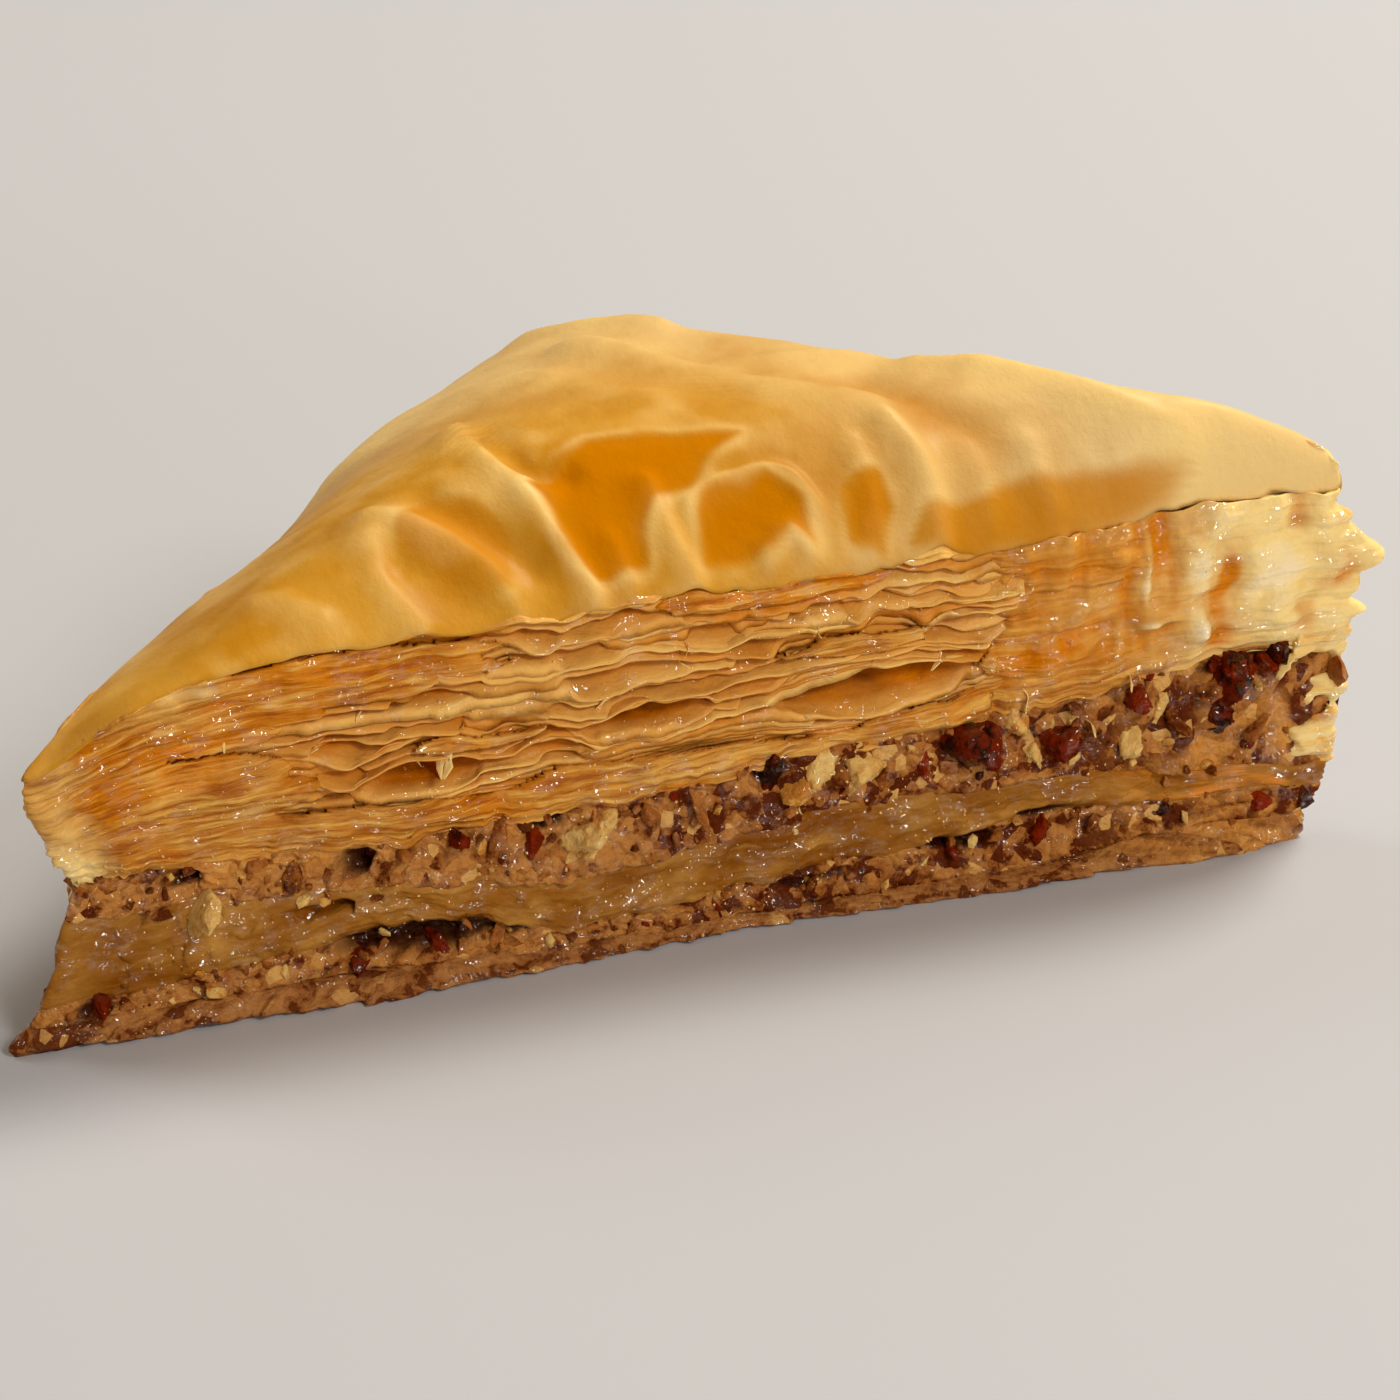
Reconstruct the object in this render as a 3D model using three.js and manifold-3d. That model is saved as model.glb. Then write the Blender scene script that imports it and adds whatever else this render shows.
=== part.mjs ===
// A triangular piece of walnut baklava. From the bottom up: thin pastry, walnut filling,
// pastry, walnut filling, and a deep stack of flaky sheets under one domed, wrinkled crust.
// Millimetres, +Z up. The long cut face looks towards -Y and the square corner towards +Y.

import * as THREE from 'three';
import { mergeVertices } from 'three/addons/utils/BufferGeometryUtils.js';
import Module from 'manifold-3d';

const wasm = await Module();
wasm.setup();

// Driving dimensions of the piece
const CUT_LENGTH = 93; // long cut face, from one sharp corner to the other
const CORNER_ROUND = 1.6; // length taken off each side of a corner
const GAP = 0.3; // clearance between one layer and the next
const SEGMENTS = 112; // places round the outline
const SEED = 20;

// Driving dimensions of the dome
const PEAK_HEIGHT = 33.8;
const PEAK_X = 3.9;
const LEFT_SLOPE = { fall: 10.8, run: 52 }; // how far the dome drops over a run from its peak
const RIGHT_SLOPE = { fall: 0.9, run: 44 };
const FRONT_EDGE = 25.4; // height of the crust's edge over the cut face
const FRONT_EDGE_RISE = { by: 1.3, from: 18 }; // towards the right corner
const LEFT_TIP_DROP = { by: 4.6, reach: 7 };
const RIGHT_EDGE = { corner: 29.8, back: 23.6, run: 30, shoulder: 5.5 };
const LEFT_EDGE = { corner: 21, back: 24.2, run: 38, shoulder: 20 };
const FRONT_SHOULDER = { narrow: 3.5, wide: 14, growsOver: 42 };
const CRUST_THICKNESS = 0.9;
const RIM_PROUD = 0.15;
const DOME_RINGS = [0.15, 1, 2.1, 3.4, 5, 7, 9.4, 12.2, 15.5]; // rings of points, closer at the edge

// Driving dimensions of the sides
const SHEET_ROWS = 19; // rows of relief up the flaky stack, ridge and groove in turn
const GROOVE_DEPTH = 0.9;
const FILLING_INSET = 1.1; // how far the filling's paste stands back from the cut
const CHUNK_SPACING = { upper: 6, lower: 7.5 };
const CHUNK_SIZE = { least: 1.5, most: 2.7 };
const WALNUT_SUNK = 0.75; // share of a walnut piece's size that its middle lies behind the cut
const WALNUT_PROUD = 0.6; // how far a walnut piece may stand out of the cut
const WALNUT_MARGIN = 0.05; // walnut pieces stop just short of the paste's top and bottom

// The outline: a right-angled triangle, walked from the left sharp corner along the cut face
const HALF_LENGTH = CUT_LENGTH / 2;
const HALF_DEPTH = CUT_LENGTH / 4;
const SIDE_LENGTH = CUT_LENGTH / Math.SQRT2;
const PERIMETER = CUT_LENGTH + 2 * SIDE_LENGTH;
const INRADIUS = HALF_LENGTH * (Math.SQRT2 - 1);
const MIDDLE = new THREE.Vector2(0, INRADIUS - HALF_DEPTH);
const CORNERS = [
  new THREE.Vector2(-HALF_LENGTH, -HALF_DEPTH),
  new THREE.Vector2(HALF_LENGTH, -HALF_DEPTH),
  new THREE.Vector2(0, HALF_DEPTH),
];
const CORNER_PLACES = [0, CUT_LENGTH, CUT_LENGTH + SIDE_LENGTH, PERIMETER];

// Heights of the layers' boundaries, as [distance along the outline, height]
const BOTTOM_PASTRY_TOP = [
  [0, 1.7], [6, 1.6], [27, 1.5], [41, 0.95], [60, 0.95], [74, 1], [89, 1.8], [126, 1.6], [159, 1.7],
  [192, 1.6],
];
const LOWER_FILLING_TOP = [
  [0, 3.1], [6, 2.9], [27, 4], [41, 2.2], [50, 2.8], [60, 3.6], [74, 4.7], [89, 4], [126, 4.2],
  [159, 3.6], [192, 4],
];
const MIDDLE_PASTRY_TOP = [
  [0, 9.2], [10, 9], [27, 7.4], [41, 5.9], [50, 6.9], [60, 7.8], [74, 7.7], [89, 5.8], [126, 7.2],
  [159, 7.6], [192, 8.2],
];
const UPPER_FILLING_TOP = [
  [0, 11.2], [10, 11.5], [27, 10.9], [41, 10.9], [60, 12.3], [74, 13], [89, 14.8], [126, 13],
  [159, 12.2], [192, 11.6],
];

// How far the bottom edge spreads beyond the cut
const BOTTOM_SPREAD = [
  [0, 0.5], [12, 1.1], [29, 1.8], [42, 1.1], [51, 0.5], [66, 1.4], [78, 1.5], [85, 2.3], [91, 0.8],
  [126, 1], [159, 0.5], [192, 1],
];

// Lean of the two sharp tips towards the right, as [height, distance]
const LEFT_TIP_LEAN = [[0, 0], [6, 2.6], [11.8, 3.9], [14.7, 2.5], [19, 1.2], [24, 2.2]];
const RIGHT_TIP_LEAN = [
  [0, 0.6], [3.8, 4.4], [8, 4.2], [12.6, 4.6], [17, 5.6], [18.5, 4.8], [21.5, 6.2], [24.4, 4.2],
];
const TIP_REACH = 6;

// Lens-shaped openings between the sheets of the cut face
const OPENINGS = [
  { along: 28.3, up: 15.1, length: 8, height: 2.2, depth: 3.4 },
  { along: 30, up: 19.6, length: 19, height: 1.4, depth: 2 },
  { along: 43, up: 20.1, length: 9, height: 2, depth: 2.6 },
  { along: 36, up: 21.8, length: 6, height: 1.4, depth: 1.8 },
  { along: 45, up: 16.4, length: 10, height: 2.6, depth: 2.4 },
  { along: 62, up: 16.1, length: 15, height: 2.6, depth: 3.4 },
  { along: 71, up: 16.8, length: 5, height: 1.3, depth: 1.6 },
  { along: 65.5, up: 23, length: 8, height: 1.2, depth: 1.4 },
  { along: 15.5, up: 18.9, length: 8, height: 1.4, depth: 1.6 },
];
const HIDDEN_OPENINGS = 13;
const SMEARED_FROM = 72; // right of here the knife has pressed the cut sheets together
const SMEARED_GROOVES = 0.35;

// Folds of the crust: ridges stand up, hollows have a negative height
const FOLDS = [
  { from: [-19, -17], to: [-17.5, -22.5], width: 1.7, height: 1 },
  { from: [-17, -15], to: [-11, -22], width: 1.7, height: 1.3 },
  { from: [-16.5, -19], to: [-12, -22.5], width: 1.7, height: -1 },
  { from: [-13.5, -14.5], to: [-9, -20], width: 1.7, height: -1.2 },
  { from: [-9.5, -10.5], to: [-7, -15.8], width: 1.7, height: 1 },
  { from: [-8, -8.5], to: [-5.5, -14], width: 1.7, height: -1.1 },
  { from: [-7.5, -17], to: [-5.5, -22.3], width: 1.7, height: 1 },
  { from: [0.8, -17.5], to: [1.7, -22.1], width: 1.7, height: 0.9 },
  { from: [3.5, -18.4], to: [10.6, -17.6], width: 1.7, height: 0.7 },
  { from: [7.6, -21.6], to: [10.1, -21.6], width: 1.7, height: 0.8 },
  { from: [-3.5, -14.5], to: [-1, -19.5], width: 3.4, height: -0.9 },
  { from: [5, -20], to: [8.5, -19.6], width: 2, height: -0.8 },
  { from: [19.5, -16.5], to: [19.6, -22.7], width: 1.7, height: 1.1 },
  { from: [15.8, -17], to: [16, -22], width: 1.7, height: -0.8 },
  { from: [4, 3.5], to: [18, -13], width: 1.9, height: 0.9 },
  { from: [20, -9.5], to: [23.5, -17], width: 2.2, height: -1.2 },
  { from: [25, -8.3], to: [36.5, -20.5], width: 1.7, height: 0.9 },
  { from: [29, -10.5], to: [40, -18.5], width: 3.2, height: 1.4 },
  { from: [-13, 9.5], to: [-9, 12], width: 3.6, height: 1.5 },
  { from: [-21, 1.5], to: [-17, 4], width: 3, height: -0.8 },
  { from: [-34, -13], to: [-28, -7], width: 3, height: 0.7 },
  { from: [3, 14], to: [9, 6], width: 2, height: 0.8 },
];

// Large walnut pieces that show at the cut face, as [distance along, share of the height, size]
const UPPER_WALNUTS = [
  [11.5, 0.2, 1.9], [23.1, 0.5, 1.3], [29.5, 0.7, 1.9], [40.1, 0.5, 3], [48, 0.6, 1.9],
  [53.7, 0.75, 2], [59.3, 0.5, 2.7], [65.8, 0.5, 2], [70, 0.6, 2.2], [76.8, 0.4, 1.9],
  [80, 0.65, 2.2], [83, 0.45, 2.4], [86, 0.75, 2.2], [88, 0.35, 2], [90, 0.75, 1.8],
];
const LOWER_WALNUTS = [
  [5, 0.5, 1.1], [25.5, 0.5, 1.6], [31, 0.5, 1.4], [69, 0.5, 1.7], [74.4, 0.5, 1.6], [82, 0.5, 1.4],
];

// Colours, as sRGB
const CRUST_COLOUR = 0xd9a45c;
const MIDDLE_PASTRY_COLOUR = 0x9c7437;
const BOTTOM_PASTRY_COLOUR = 0x84572d;
const UPPER_FILLING_COLOUR = 0x6f4023;
const LOWER_FILLING_COLOUR = 0x5a331c;

// A repeatable random number from 0 to 1
function makeRandom(seed) {
  let state = seed;
  return () => {
    state = (state * 1664525 + 1013904223) % 4294967296;
    return state / 4294967296;
  };
}

// A smooth value between the stations of a list of [place, value]
function between(stations, place) {
  const next = stations.findIndex(([at]) => at > place);
  if (next === 0) return stations[0][1];
  if (next === -1) return stations.at(-1)[1];
  const [from, low] = stations[next - 1];
  const [to, high] = stations[next];
  return THREE.MathUtils.lerp(low, high, THREE.MathUtils.smoothstep(place, from, to));
}

// The same round the closed outline
function around(stations, along) {
  return between([...stations, [PERIMETER, stations[0][1]]], along % PERIMETER);
}

// 1 at the middle of a span, falling to 0 at its ends
function bump(distance, halfSpan) {
  return Math.max(0, 1 - (distance / halfSpan) ** 2);
}

function outlinePoints() {
  const cut = (corner, neighbour) =>
    corner.clone().add(neighbour.clone().sub(corner).setLength(CORNER_ROUND));
  const [left, right, back] = CORNERS;
  const path = new THREE.Path();
  path.moveTo(...cut(left, right));
  path.lineTo(...cut(right, left));
  path.quadraticCurveTo(...right, ...cut(right, back));
  path.lineTo(...cut(back, right));
  path.quadraticCurveTo(...back, ...cut(back, left));
  path.lineTo(...cut(left, back));
  path.quadraticCurveTo(...left, ...cut(left, right));
  return path.getSpacedPoints(SEGMENTS);
}

const OUTLINE = outlinePoints();

// Distance along the outline at a point of it, and the point nearest to a distance
function placeOf(index) {
  return CORNER_ROUND + ((index % SEGMENTS) * PERIMETER) / SEGMENTS;
}

function indexOf(along) {
  return Math.round(((along - CORNER_ROUND) / PERIMETER) * SEGMENTS);
}

// 0 at a corner, 1 well away from it
function awayFromCorner(along) {
  const distance = Math.min(...CORNER_PLACES.map((corner) => Math.abs(along - corner)));
  return THREE.MathUtils.smoothstep(distance, 0, 11);
}

// The two tips lean with height
function lean(x, z) {
  const left = between(LEFT_TIP_LEAN, z) * Math.exp(-(((x + HALF_LENGTH) / TIP_REACH) ** 2));
  const right = between(RIGHT_TIP_LEAN, z) * Math.exp(-(((x - HALF_LENGTH) / TIP_REACH) ** 2));
  return x + left + right;
}

// Height of a layer boundary: it follows the stations at the edge and levels out inwards
function boundary(stations) {
  const mean = stations.reduce((sum, [, height]) => sum + height, 0) / stations.length;
  return (along, reach) => THREE.MathUtils.lerp(mean, around(stations, along), reach);
}

// Height of a crust edge that runs from the back corner to a sharp one
function edgeHeight(edge, outwards) {
  const share = THREE.MathUtils.smoothstep(outwards, 0, edge.run);
  return THREE.MathUtils.lerp(edge.back, edge.corner, share);
}

// 1 at an edge, falling to 0 where its shoulder ends
function smoothDrop(distance, shoulder) {
  return Math.max(0, 1 - distance / shoulder) ** 2;
}

// Height added by one fold of the crust
function foldHeight(fold, x, y) {
  const from = new THREE.Vector2(...fold.from);
  const line = new THREE.Vector2(...fold.to).sub(from);
  const offset = new THREE.Vector2(x, y).sub(from);
  const share = THREE.MathUtils.clamp(offset.dot(line) / line.lengthSq(), 0, 1);
  const distance = offset.addScaledVector(line, -share).length();
  return fold.height * Math.exp(-((distance / fold.width) ** 2));
}

// Height of the crust: a dome that drops to each of the three edges, with its folds
function crustHeight(x, y) {
  const fromPeak = x - PEAK_X;
  const side = fromPeak < 0 ? LEFT_SLOPE : RIGHT_SLOPE;
  const dome = PEAK_HEIGHT - side.fall * (fromPeak / side.run) ** 2;
  const toFront = y + HALF_DEPTH;
  const toRight = (HALF_DEPTH - y - x) / Math.SQRT2;
  const toLeft = (HALF_DEPTH - y + x) / Math.SQRT2;

  const tipDrop = LEFT_TIP_DROP.by * Math.exp(-(((x + HALF_LENGTH) / LEFT_TIP_DROP.reach) ** 2));
  const rise = FRONT_EDGE_RISE.by * THREE.MathUtils.smoothstep(x, FRONT_EDGE_RISE.from, HALF_LENGTH);
  const frontEdge = FRONT_EDGE - tipDrop + rise;
  const widening = THREE.MathUtils.clamp((HALF_LENGTH - x) / FRONT_SHOULDER.growsOver, 0, 1);
  const frontShoulder = THREE.MathUtils.lerp(FRONT_SHOULDER.narrow, FRONT_SHOULDER.wide, widening);
  const rightEdge = edgeHeight(RIGHT_EDGE, x);
  const leftEdge = edgeHeight(LEFT_EDGE, -x);
  const frontDrop = (dome - frontEdge) * smoothDrop(toFront, frontShoulder);
  const rightDrop = Math.max(0, dome - rightEdge) * smoothDrop(toRight, RIGHT_EDGE.shoulder);
  const leftDrop = Math.max(0, dome - leftEdge) * smoothDrop(toLeft, LEFT_EDGE.shoulder);
  const backDrop = (rightDrop ** 4 + leftDrop ** 4) ** 0.25;

  const folds = FOLDS.reduce((sum, fold) => sum + foldHeight(fold, x, y), 0);
  return dome - Math.hypot(frontDrop, backDrop) + folds;
}

// The point of the outline at an index, moved inwards and set at a height
function wallPoint(index, inset, heightAt) {
  const along = placeOf(index);
  const reach = 1 - inset / INRADIUS;
  const flat = MIDDLE.clone().lerp(OUTLINE[index % SEGMENTS], reach);
  const z = heightAt({ along, reach, x: flat.x, y: flat.y });
  return new THREE.Vector3(lean(flat.x, z), flat.y, z);
}

// A closed body swept round the outline. Each row, from the bottom up, gives for a place on the
// outline how far it lies inside it, and its height; the first and last rows meet in the middle.
function sweptBody(rows) {
  const profile = rows.map((row, level) => new THREE.Vector2(row.inMiddle ? 0 : 1, level));
  const geometry = new THREE.LatheGeometry(profile, SEGMENTS);
  const position = geometry.getAttribute('position');
  for (let index = 0; index <= SEGMENTS; index += 1) {
    rows.forEach((row, level) => {
      const inset = row.inMiddle ? INRADIUS : row.inset(placeOf(index));
      const point = wallPoint(index, inset, row.height);
      position.setXYZ(index * rows.length + level, point.x, point.y, point.z);
    });
  }
  geometry.deleteAttribute('normal');
  geometry.deleteAttribute('uv');
  return withoutSlivers(mergeVertices(geometry));
}

// The lathe leaves triangles without area at the middle points
function withoutSlivers(geometry) {
  const corners = geometry.getIndex().array;
  const kept = [];
  for (let i = 0; i < corners.length; i += 3) {
    const [a, b, c] = corners.slice(i, i + 3);
    if (a !== b && b !== c && c !== a) kept.push(a, b, c);
  }
  geometry.setIndex(kept);
  return geometry;
}

// The rows of a plain layer between two boundaries; each wall row is [share of height, inset]
function layerRows(lower, upper, wall, margin = GAP / 2) {
  const bottom = ({ along, reach }) => lower(along, reach) + margin;
  const top = ({ along, reach }) => upper(along, reach) - margin;
  const wallRows = wall.map(([share, inset]) => ({
    inset,
    height: (place) => THREE.MathUtils.lerp(bottom(place), top(place), share),
  }));
  return [{ inMiddle: true, height: bottom }, ...wallRows, { inMiddle: true, height: top }];
}

const bottomPastryTop = boundary(BOTTOM_PASTRY_TOP);
const lowerFillingTop = boundary(LOWER_FILLING_TOP);
const middlePastryTop = boundary(MIDDLE_PASTRY_TOP);
const upperFillingTop = boundary(UPPER_FILLING_TOP);

function bottomPastry() {
  const floor = () => -GAP / 2;
  const spread = (share) => (along) => -share * around(BOTTOM_SPREAD, along);
  return sweptBody(layerRows(floor, bottomPastryTop, [
    [0, (along) => 0.5 + spread(0.9)(along)],
    [0.3, spread(1)],
    [0.75, spread(0.7)],
    [1, (along) => 0.3 + spread(0.4)(along)],
  ]));
}

function middlePastry() {
  const ripple = (along) => 0.25 * Math.sin(along * 0.55) * awayFromCorner(along);
  return sweptBody(layerRows(lowerFillingTop, middlePastryTop, [
    [0, () => 0.45],
    [0.2, (along) => 0.05 + ripple(along)],
    [0.5, (along) => 0.2 - ripple(along)],
    [0.8, (along) => -0.1 + ripple(along)],
    [1, () => 0.4],
  ]));
}

// One walnut piece: a small faceted lump, a little longer than it is wide
function walnutPiece(along, share, size, lower, upper, random) {
  const heightAt = ({ along: at, reach }) =>
    THREE.MathUtils.lerp(lower(at, reach), upper(at, reach), share);
  const centre = wallPoint(indexOf(along), size * WALNUT_SUNK, heightAt);
  const lump = new THREE.IcosahedronGeometry(size, 0);
  lump.deleteAttribute('normal');
  lump.deleteAttribute('uv');
  const merged = mergeVertices(lump);
  const position = merged.getAttribute('position');
  for (let i = 0; i < position.count; i += 1) {
    const swell = 0.8 + 0.4 * random();
    position.setXYZ(i, position.getX(i) * swell, position.getY(i) * swell, position.getZ(i) * swell);
  }
  merged.scale(1.25, 0.9, 0.85);
  merged.rotateZ(random() * Math.PI);
  merged.rotateX(random() - 0.5);
  merged.translate(centre.x, centre.y, centre.z);
  return merged;
}

function toManifold(geometry) {
  return new wasm.Manifold(new wasm.Mesh({
    numProp: 3,
    vertProperties: new Float32Array(geometry.getAttribute('position').array),
    triVerts: new Uint32Array(geometry.getIndex().array),
  }));
}

function toGeometry(manifold) {
  const mesh = manifold.getMesh();
  const geometry = new THREE.BufferGeometry();
  geometry.setAttribute('position', new THREE.BufferAttribute(mesh.vertProperties, 3));
  geometry.setIndex(new THREE.BufferAttribute(mesh.triVerts, 1));
  return geometry;
}

// A filling: a core of paste that stands back from the cut, with walnut pieces showing round it
function filling(lower, upper, namedPieces, spacing, sizeShare, seed) {
  const random = makeRandom(seed);
  const paste = (extra) => (along) =>
    extra + FILLING_INSET * (0.75 + 0.25 * Math.sin(along * 0.8 + extra * 9)) * awayFromCorner(along);
  const core = sweptBody(layerRows(lower, upper, [
    [0, paste(0.2)], [0.35, paste(0)], [0.7, paste(0.1)], [1, paste(0.2)],
  ]));
  const limit = toManifold(sweptBody(layerRows(
    lower, upper, [[0, () => -WALNUT_PROUD], [1, () => -WALNUT_PROUD]], GAP / 2 + WALNUT_MARGIN,
  )));

  const pieces = namedPieces.map(([along, share, size]) => [along, share, size]);
  const count = Math.floor((PERIMETER - CUT_LENGTH) / spacing);
  for (let i = 1; i < count; i += 1) {
    const size = THREE.MathUtils.lerp(CHUNK_SIZE.least, CHUNK_SIZE.most, random()) * sizeShare;
    pieces.push([CUT_LENGTH + i * spacing, 0.25 + 0.5 * random(), size]);
  }
  let body = toManifold(core);
  for (const [along, share, size] of pieces) {
    const piece = toManifold(walnutPiece(along, share, size, lower, upper, random));
    body = body.add(piece.intersect(limit));
  }
  const bodies = body.decompose();
  return toGeometry(bodies.sort((a, b) => b.volume() - a.volume())[0]);
}

// Openings of the two sides behind, placed by rule
function allOpenings() {
  const random = makeRandom(SEED);
  const hidden = [];
  for (let i = 0; i < HIDDEN_OPENINGS; i += 1) {
    hidden.push({
      along: CUT_LENGTH + (PERIMETER - CUT_LENGTH) * ((i + 0.3 + 0.4 * random()) / HIDDEN_OPENINGS),
      up: 15 + 7 * random(),
      length: 7 + 7 * random(),
      height: 1.3 + 0.9 * random(),
      depth: 1.4 + 1.4 * random(),
    });
  }
  return [...OPENINGS, ...hidden];
}

const ALL_OPENINGS = allOpenings();

// How far the flaky wall lies inside the outline
function flakyInset(along, height, isGroove) {
  const smeared = along > SMEARED_FROM && along < CUT_LENGTH ? SMEARED_GROOVES : 1;
  const wave = 0.7 + 0.3 * Math.sin(along * 0.45 + height);
  const groove = isGroove ? GROOVE_DEPTH * smeared * wave : 0.15 * Math.sin(along * 0.3 + height * 1.7);
  const opening = ALL_OPENINGS.reduce((deepest, { along: at, up, length, height: tall, depth }) => {
    const inside = bump(along - at, length / 2) * bump(height - up, tall / 2 + 0.2);
    return Math.max(deepest, depth * Math.sqrt(inside));
  }, 0);
  return (groove + opening) * awayFromCorner(along);
}

// The top pastry: sheets in relief up the wall, the crust's rim over them, and the dome
function topPastry() {
  const bottom = ({ along, reach }) => upperFillingTop(along, reach) + GAP / 2;
  const rims = OUTLINE.map(({ x, y }) => crustHeight(x, y));
  const rimAt = (along) => rims[indexOf(along)];
  const wallHeight = (share) => (place) =>
    THREE.MathUtils.lerp(bottom(place), rimAt(place.along) - CRUST_THICKNESS, share);

  const rows = [{ inMiddle: true, height: bottom }];
  for (let level = 0; level < SHEET_ROWS; level += 1) {
    const share = level / (SHEET_ROWS - 1);
    const height = wallHeight(share);
    const isGroove = level % 2 === 0;
    rows.push({
      inset: (along) => flakyInset(along, height({ along, reach: 1 }), isGroove),
      height,
    });
  }
  rows.push({ inset: () => -RIM_PROUD, height: ({ along }) => rimAt(along) - CRUST_THICKNESS * 0.6 });
  for (const inset of DOME_RINGS) {
    rows.push({ inset: () => inset, height: ({ x, y }) => crustHeight(x, y) });
  }
  rows.push({ inMiddle: true, height: ({ x, y }) => crustHeight(x, y) });
  return sweptBody(rows);
}

function layer(name, geometry, color, roughness) {
  const mesh = new THREE.Mesh(
    geometry,
    new THREE.MeshStandardMaterial({ color, roughness, metalness: 0 }),
  );
  mesh.name = name;
  return mesh;
}

const baklava = new THREE.Group();
baklava.add(
  layer('bottom_pastry', bottomPastry(), BOTTOM_PASTRY_COLOUR, 0.4),
  layer(
    'lower_walnut_filling',
    filling(bottomPastryTop, lowerFillingTop, LOWER_WALNUTS, CHUNK_SPACING.lower, 0.6, SEED + 1),
    LOWER_FILLING_COLOUR, 0.5,
  ),
  layer('middle_pastry', middlePastry(), MIDDLE_PASTRY_COLOUR, 0.35),
  layer(
    'upper_walnut_filling',
    filling(middlePastryTop, upperFillingTop, UPPER_WALNUTS, CHUNK_SPACING.upper, 1, SEED + 2),
    UPPER_FILLING_COLOUR, 0.5,
  ),
  layer('top_pastry', topPastry(), CRUST_COLOUR, 0.3),
);

// The origin is under the middle of the whole piece
const box = new THREE.Box3().setFromObject(baklava);
const middle = box.getCenter(new THREE.Vector3());
baklava.position.set(-middle.x, -middle.y, -box.min.z);

export default baklava;
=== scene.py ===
import bpy
import math
import numpy as np
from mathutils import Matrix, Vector


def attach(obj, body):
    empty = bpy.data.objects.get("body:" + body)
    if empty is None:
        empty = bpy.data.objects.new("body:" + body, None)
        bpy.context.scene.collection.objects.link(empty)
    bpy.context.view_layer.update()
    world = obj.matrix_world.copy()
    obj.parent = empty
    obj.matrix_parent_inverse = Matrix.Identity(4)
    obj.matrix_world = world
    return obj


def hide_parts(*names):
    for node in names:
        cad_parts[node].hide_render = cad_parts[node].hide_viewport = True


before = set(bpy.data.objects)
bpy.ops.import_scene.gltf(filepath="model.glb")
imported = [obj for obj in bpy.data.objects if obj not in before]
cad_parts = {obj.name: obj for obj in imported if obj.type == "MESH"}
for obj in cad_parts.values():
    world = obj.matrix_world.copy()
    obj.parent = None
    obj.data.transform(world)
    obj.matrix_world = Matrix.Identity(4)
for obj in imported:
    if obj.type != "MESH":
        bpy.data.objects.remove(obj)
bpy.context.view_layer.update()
print("frame loaded")

# the whole piece, in millimetres; shift moves the triangle's own middle to the frame's origin
piece = {"length": 93.0, "cornerRound": 1.6, "shift": (-2.685, 1.128), "leanReach": 6.0, "seed": 20}
halfLength = piece["length"] / 2
halfDepth = piece["length"] / 4
sideLength = piece["length"] / math.sqrt(2)
perimeter = piece["length"] + 2 * sideLength
inRadius = halfLength * (math.sqrt(2) - 1)
middle = np.array([0, inRadius - halfDepth])
corners = np.array([[-halfLength, -halfDepth], [halfLength, -halfDepth], [0, halfDepth]])
cornerPlaces = np.array([0, piece["length"], piece["length"] + sideLength, perimeter])

# heights of the layers' boundaries at (distance round the outline, height)
layers = {
    "baseTop": [(0, 1.7), (6, 1.6), (27, 1.5), (41, 0.95), (60, 0.95), (74, 1), (89, 1.8), (126, 1.6),
                (159, 1.7), (192, 1.6)],
    "lowerNutTop": [(0, 3.1), (6, 2.9), (27, 4), (41, 2.2), (50, 2.8), (60, 3.6), (74, 4.7), (89, 4),
                    (126, 4.2), (159, 3.6), (192, 4)],
    "middleTop": [(0, 9.2), (10, 9), (27, 7.4), (41, 5.9), (50, 6.9), (60, 7.8), (74, 7.7), (89, 5.8),
                  (126, 7.2), (159, 7.6), (192, 8.2)],
    "upperNutTop": [(0, 11.2), (10, 11.5), (27, 10.9), (41, 10.9), (60, 12.3), (74, 13), (89, 14.8),
                    (126, 13), (159, 12.2), (192, 11.6)],
    "baseSpread": [(0, 0.5), (12, 1.1), (29, 1.8), (42, 1.1), (51, 0.5), (66, 1.4), (78, 1.5), (85, 2.3),
                   (91, 0.8), (126, 1), (159, 0.5), (192, 1)],
    "leftLean": [(0, 0), (6, 2.6), (11.8, 3.9), (14.7, 2.5), (19, 1.2), (24, 2.2)],
    "rightLean": [(0, 0.6), (3.8, 4.4), (8, 4.2), (12.6, 4.6), (17, 5.6), (18.5, 4.8), (21.5, 6.2),
                  (24.4, 4.2)],
}

# whole numbers that scatter the random values of noiseAt
scatter = {"primes": np.array([73856093, 19349663, 83492791]), "seedStep": 2654435, "spread": 1274126177}


# small sums that every piece uses

def ease(value, start, end):
    t = np.clip((value - start) / (end - start), 0, 1)
    return t * t * (3 - 2 * t)


def bell(value, centre, width, power=2):
    # 1 at the centre, falling to nothing a few widths away
    return np.exp(-np.abs((value - centre) / width) ** power)


def stationValue(stations, place):
    places, values = np.array(stations, float).T
    i = np.clip(np.searchsorted(places, place, side="right") - 1, 0, len(places) - 2)
    return values[i] + (values[i + 1] - values[i]) * ease(place, places[i], places[i + 1])


def roundStation(name, along):
    stations = layers[name]
    return stationValue(stations + [(perimeter, stations[0][1])], along % perimeter)


def layerHeight(name, along, inset):
    mean = sum(v for _, v in layers[name]) / len(layers[name])
    return mean + (roundStation(name, along) - mean) * (1 - inset / inRadius)


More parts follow.
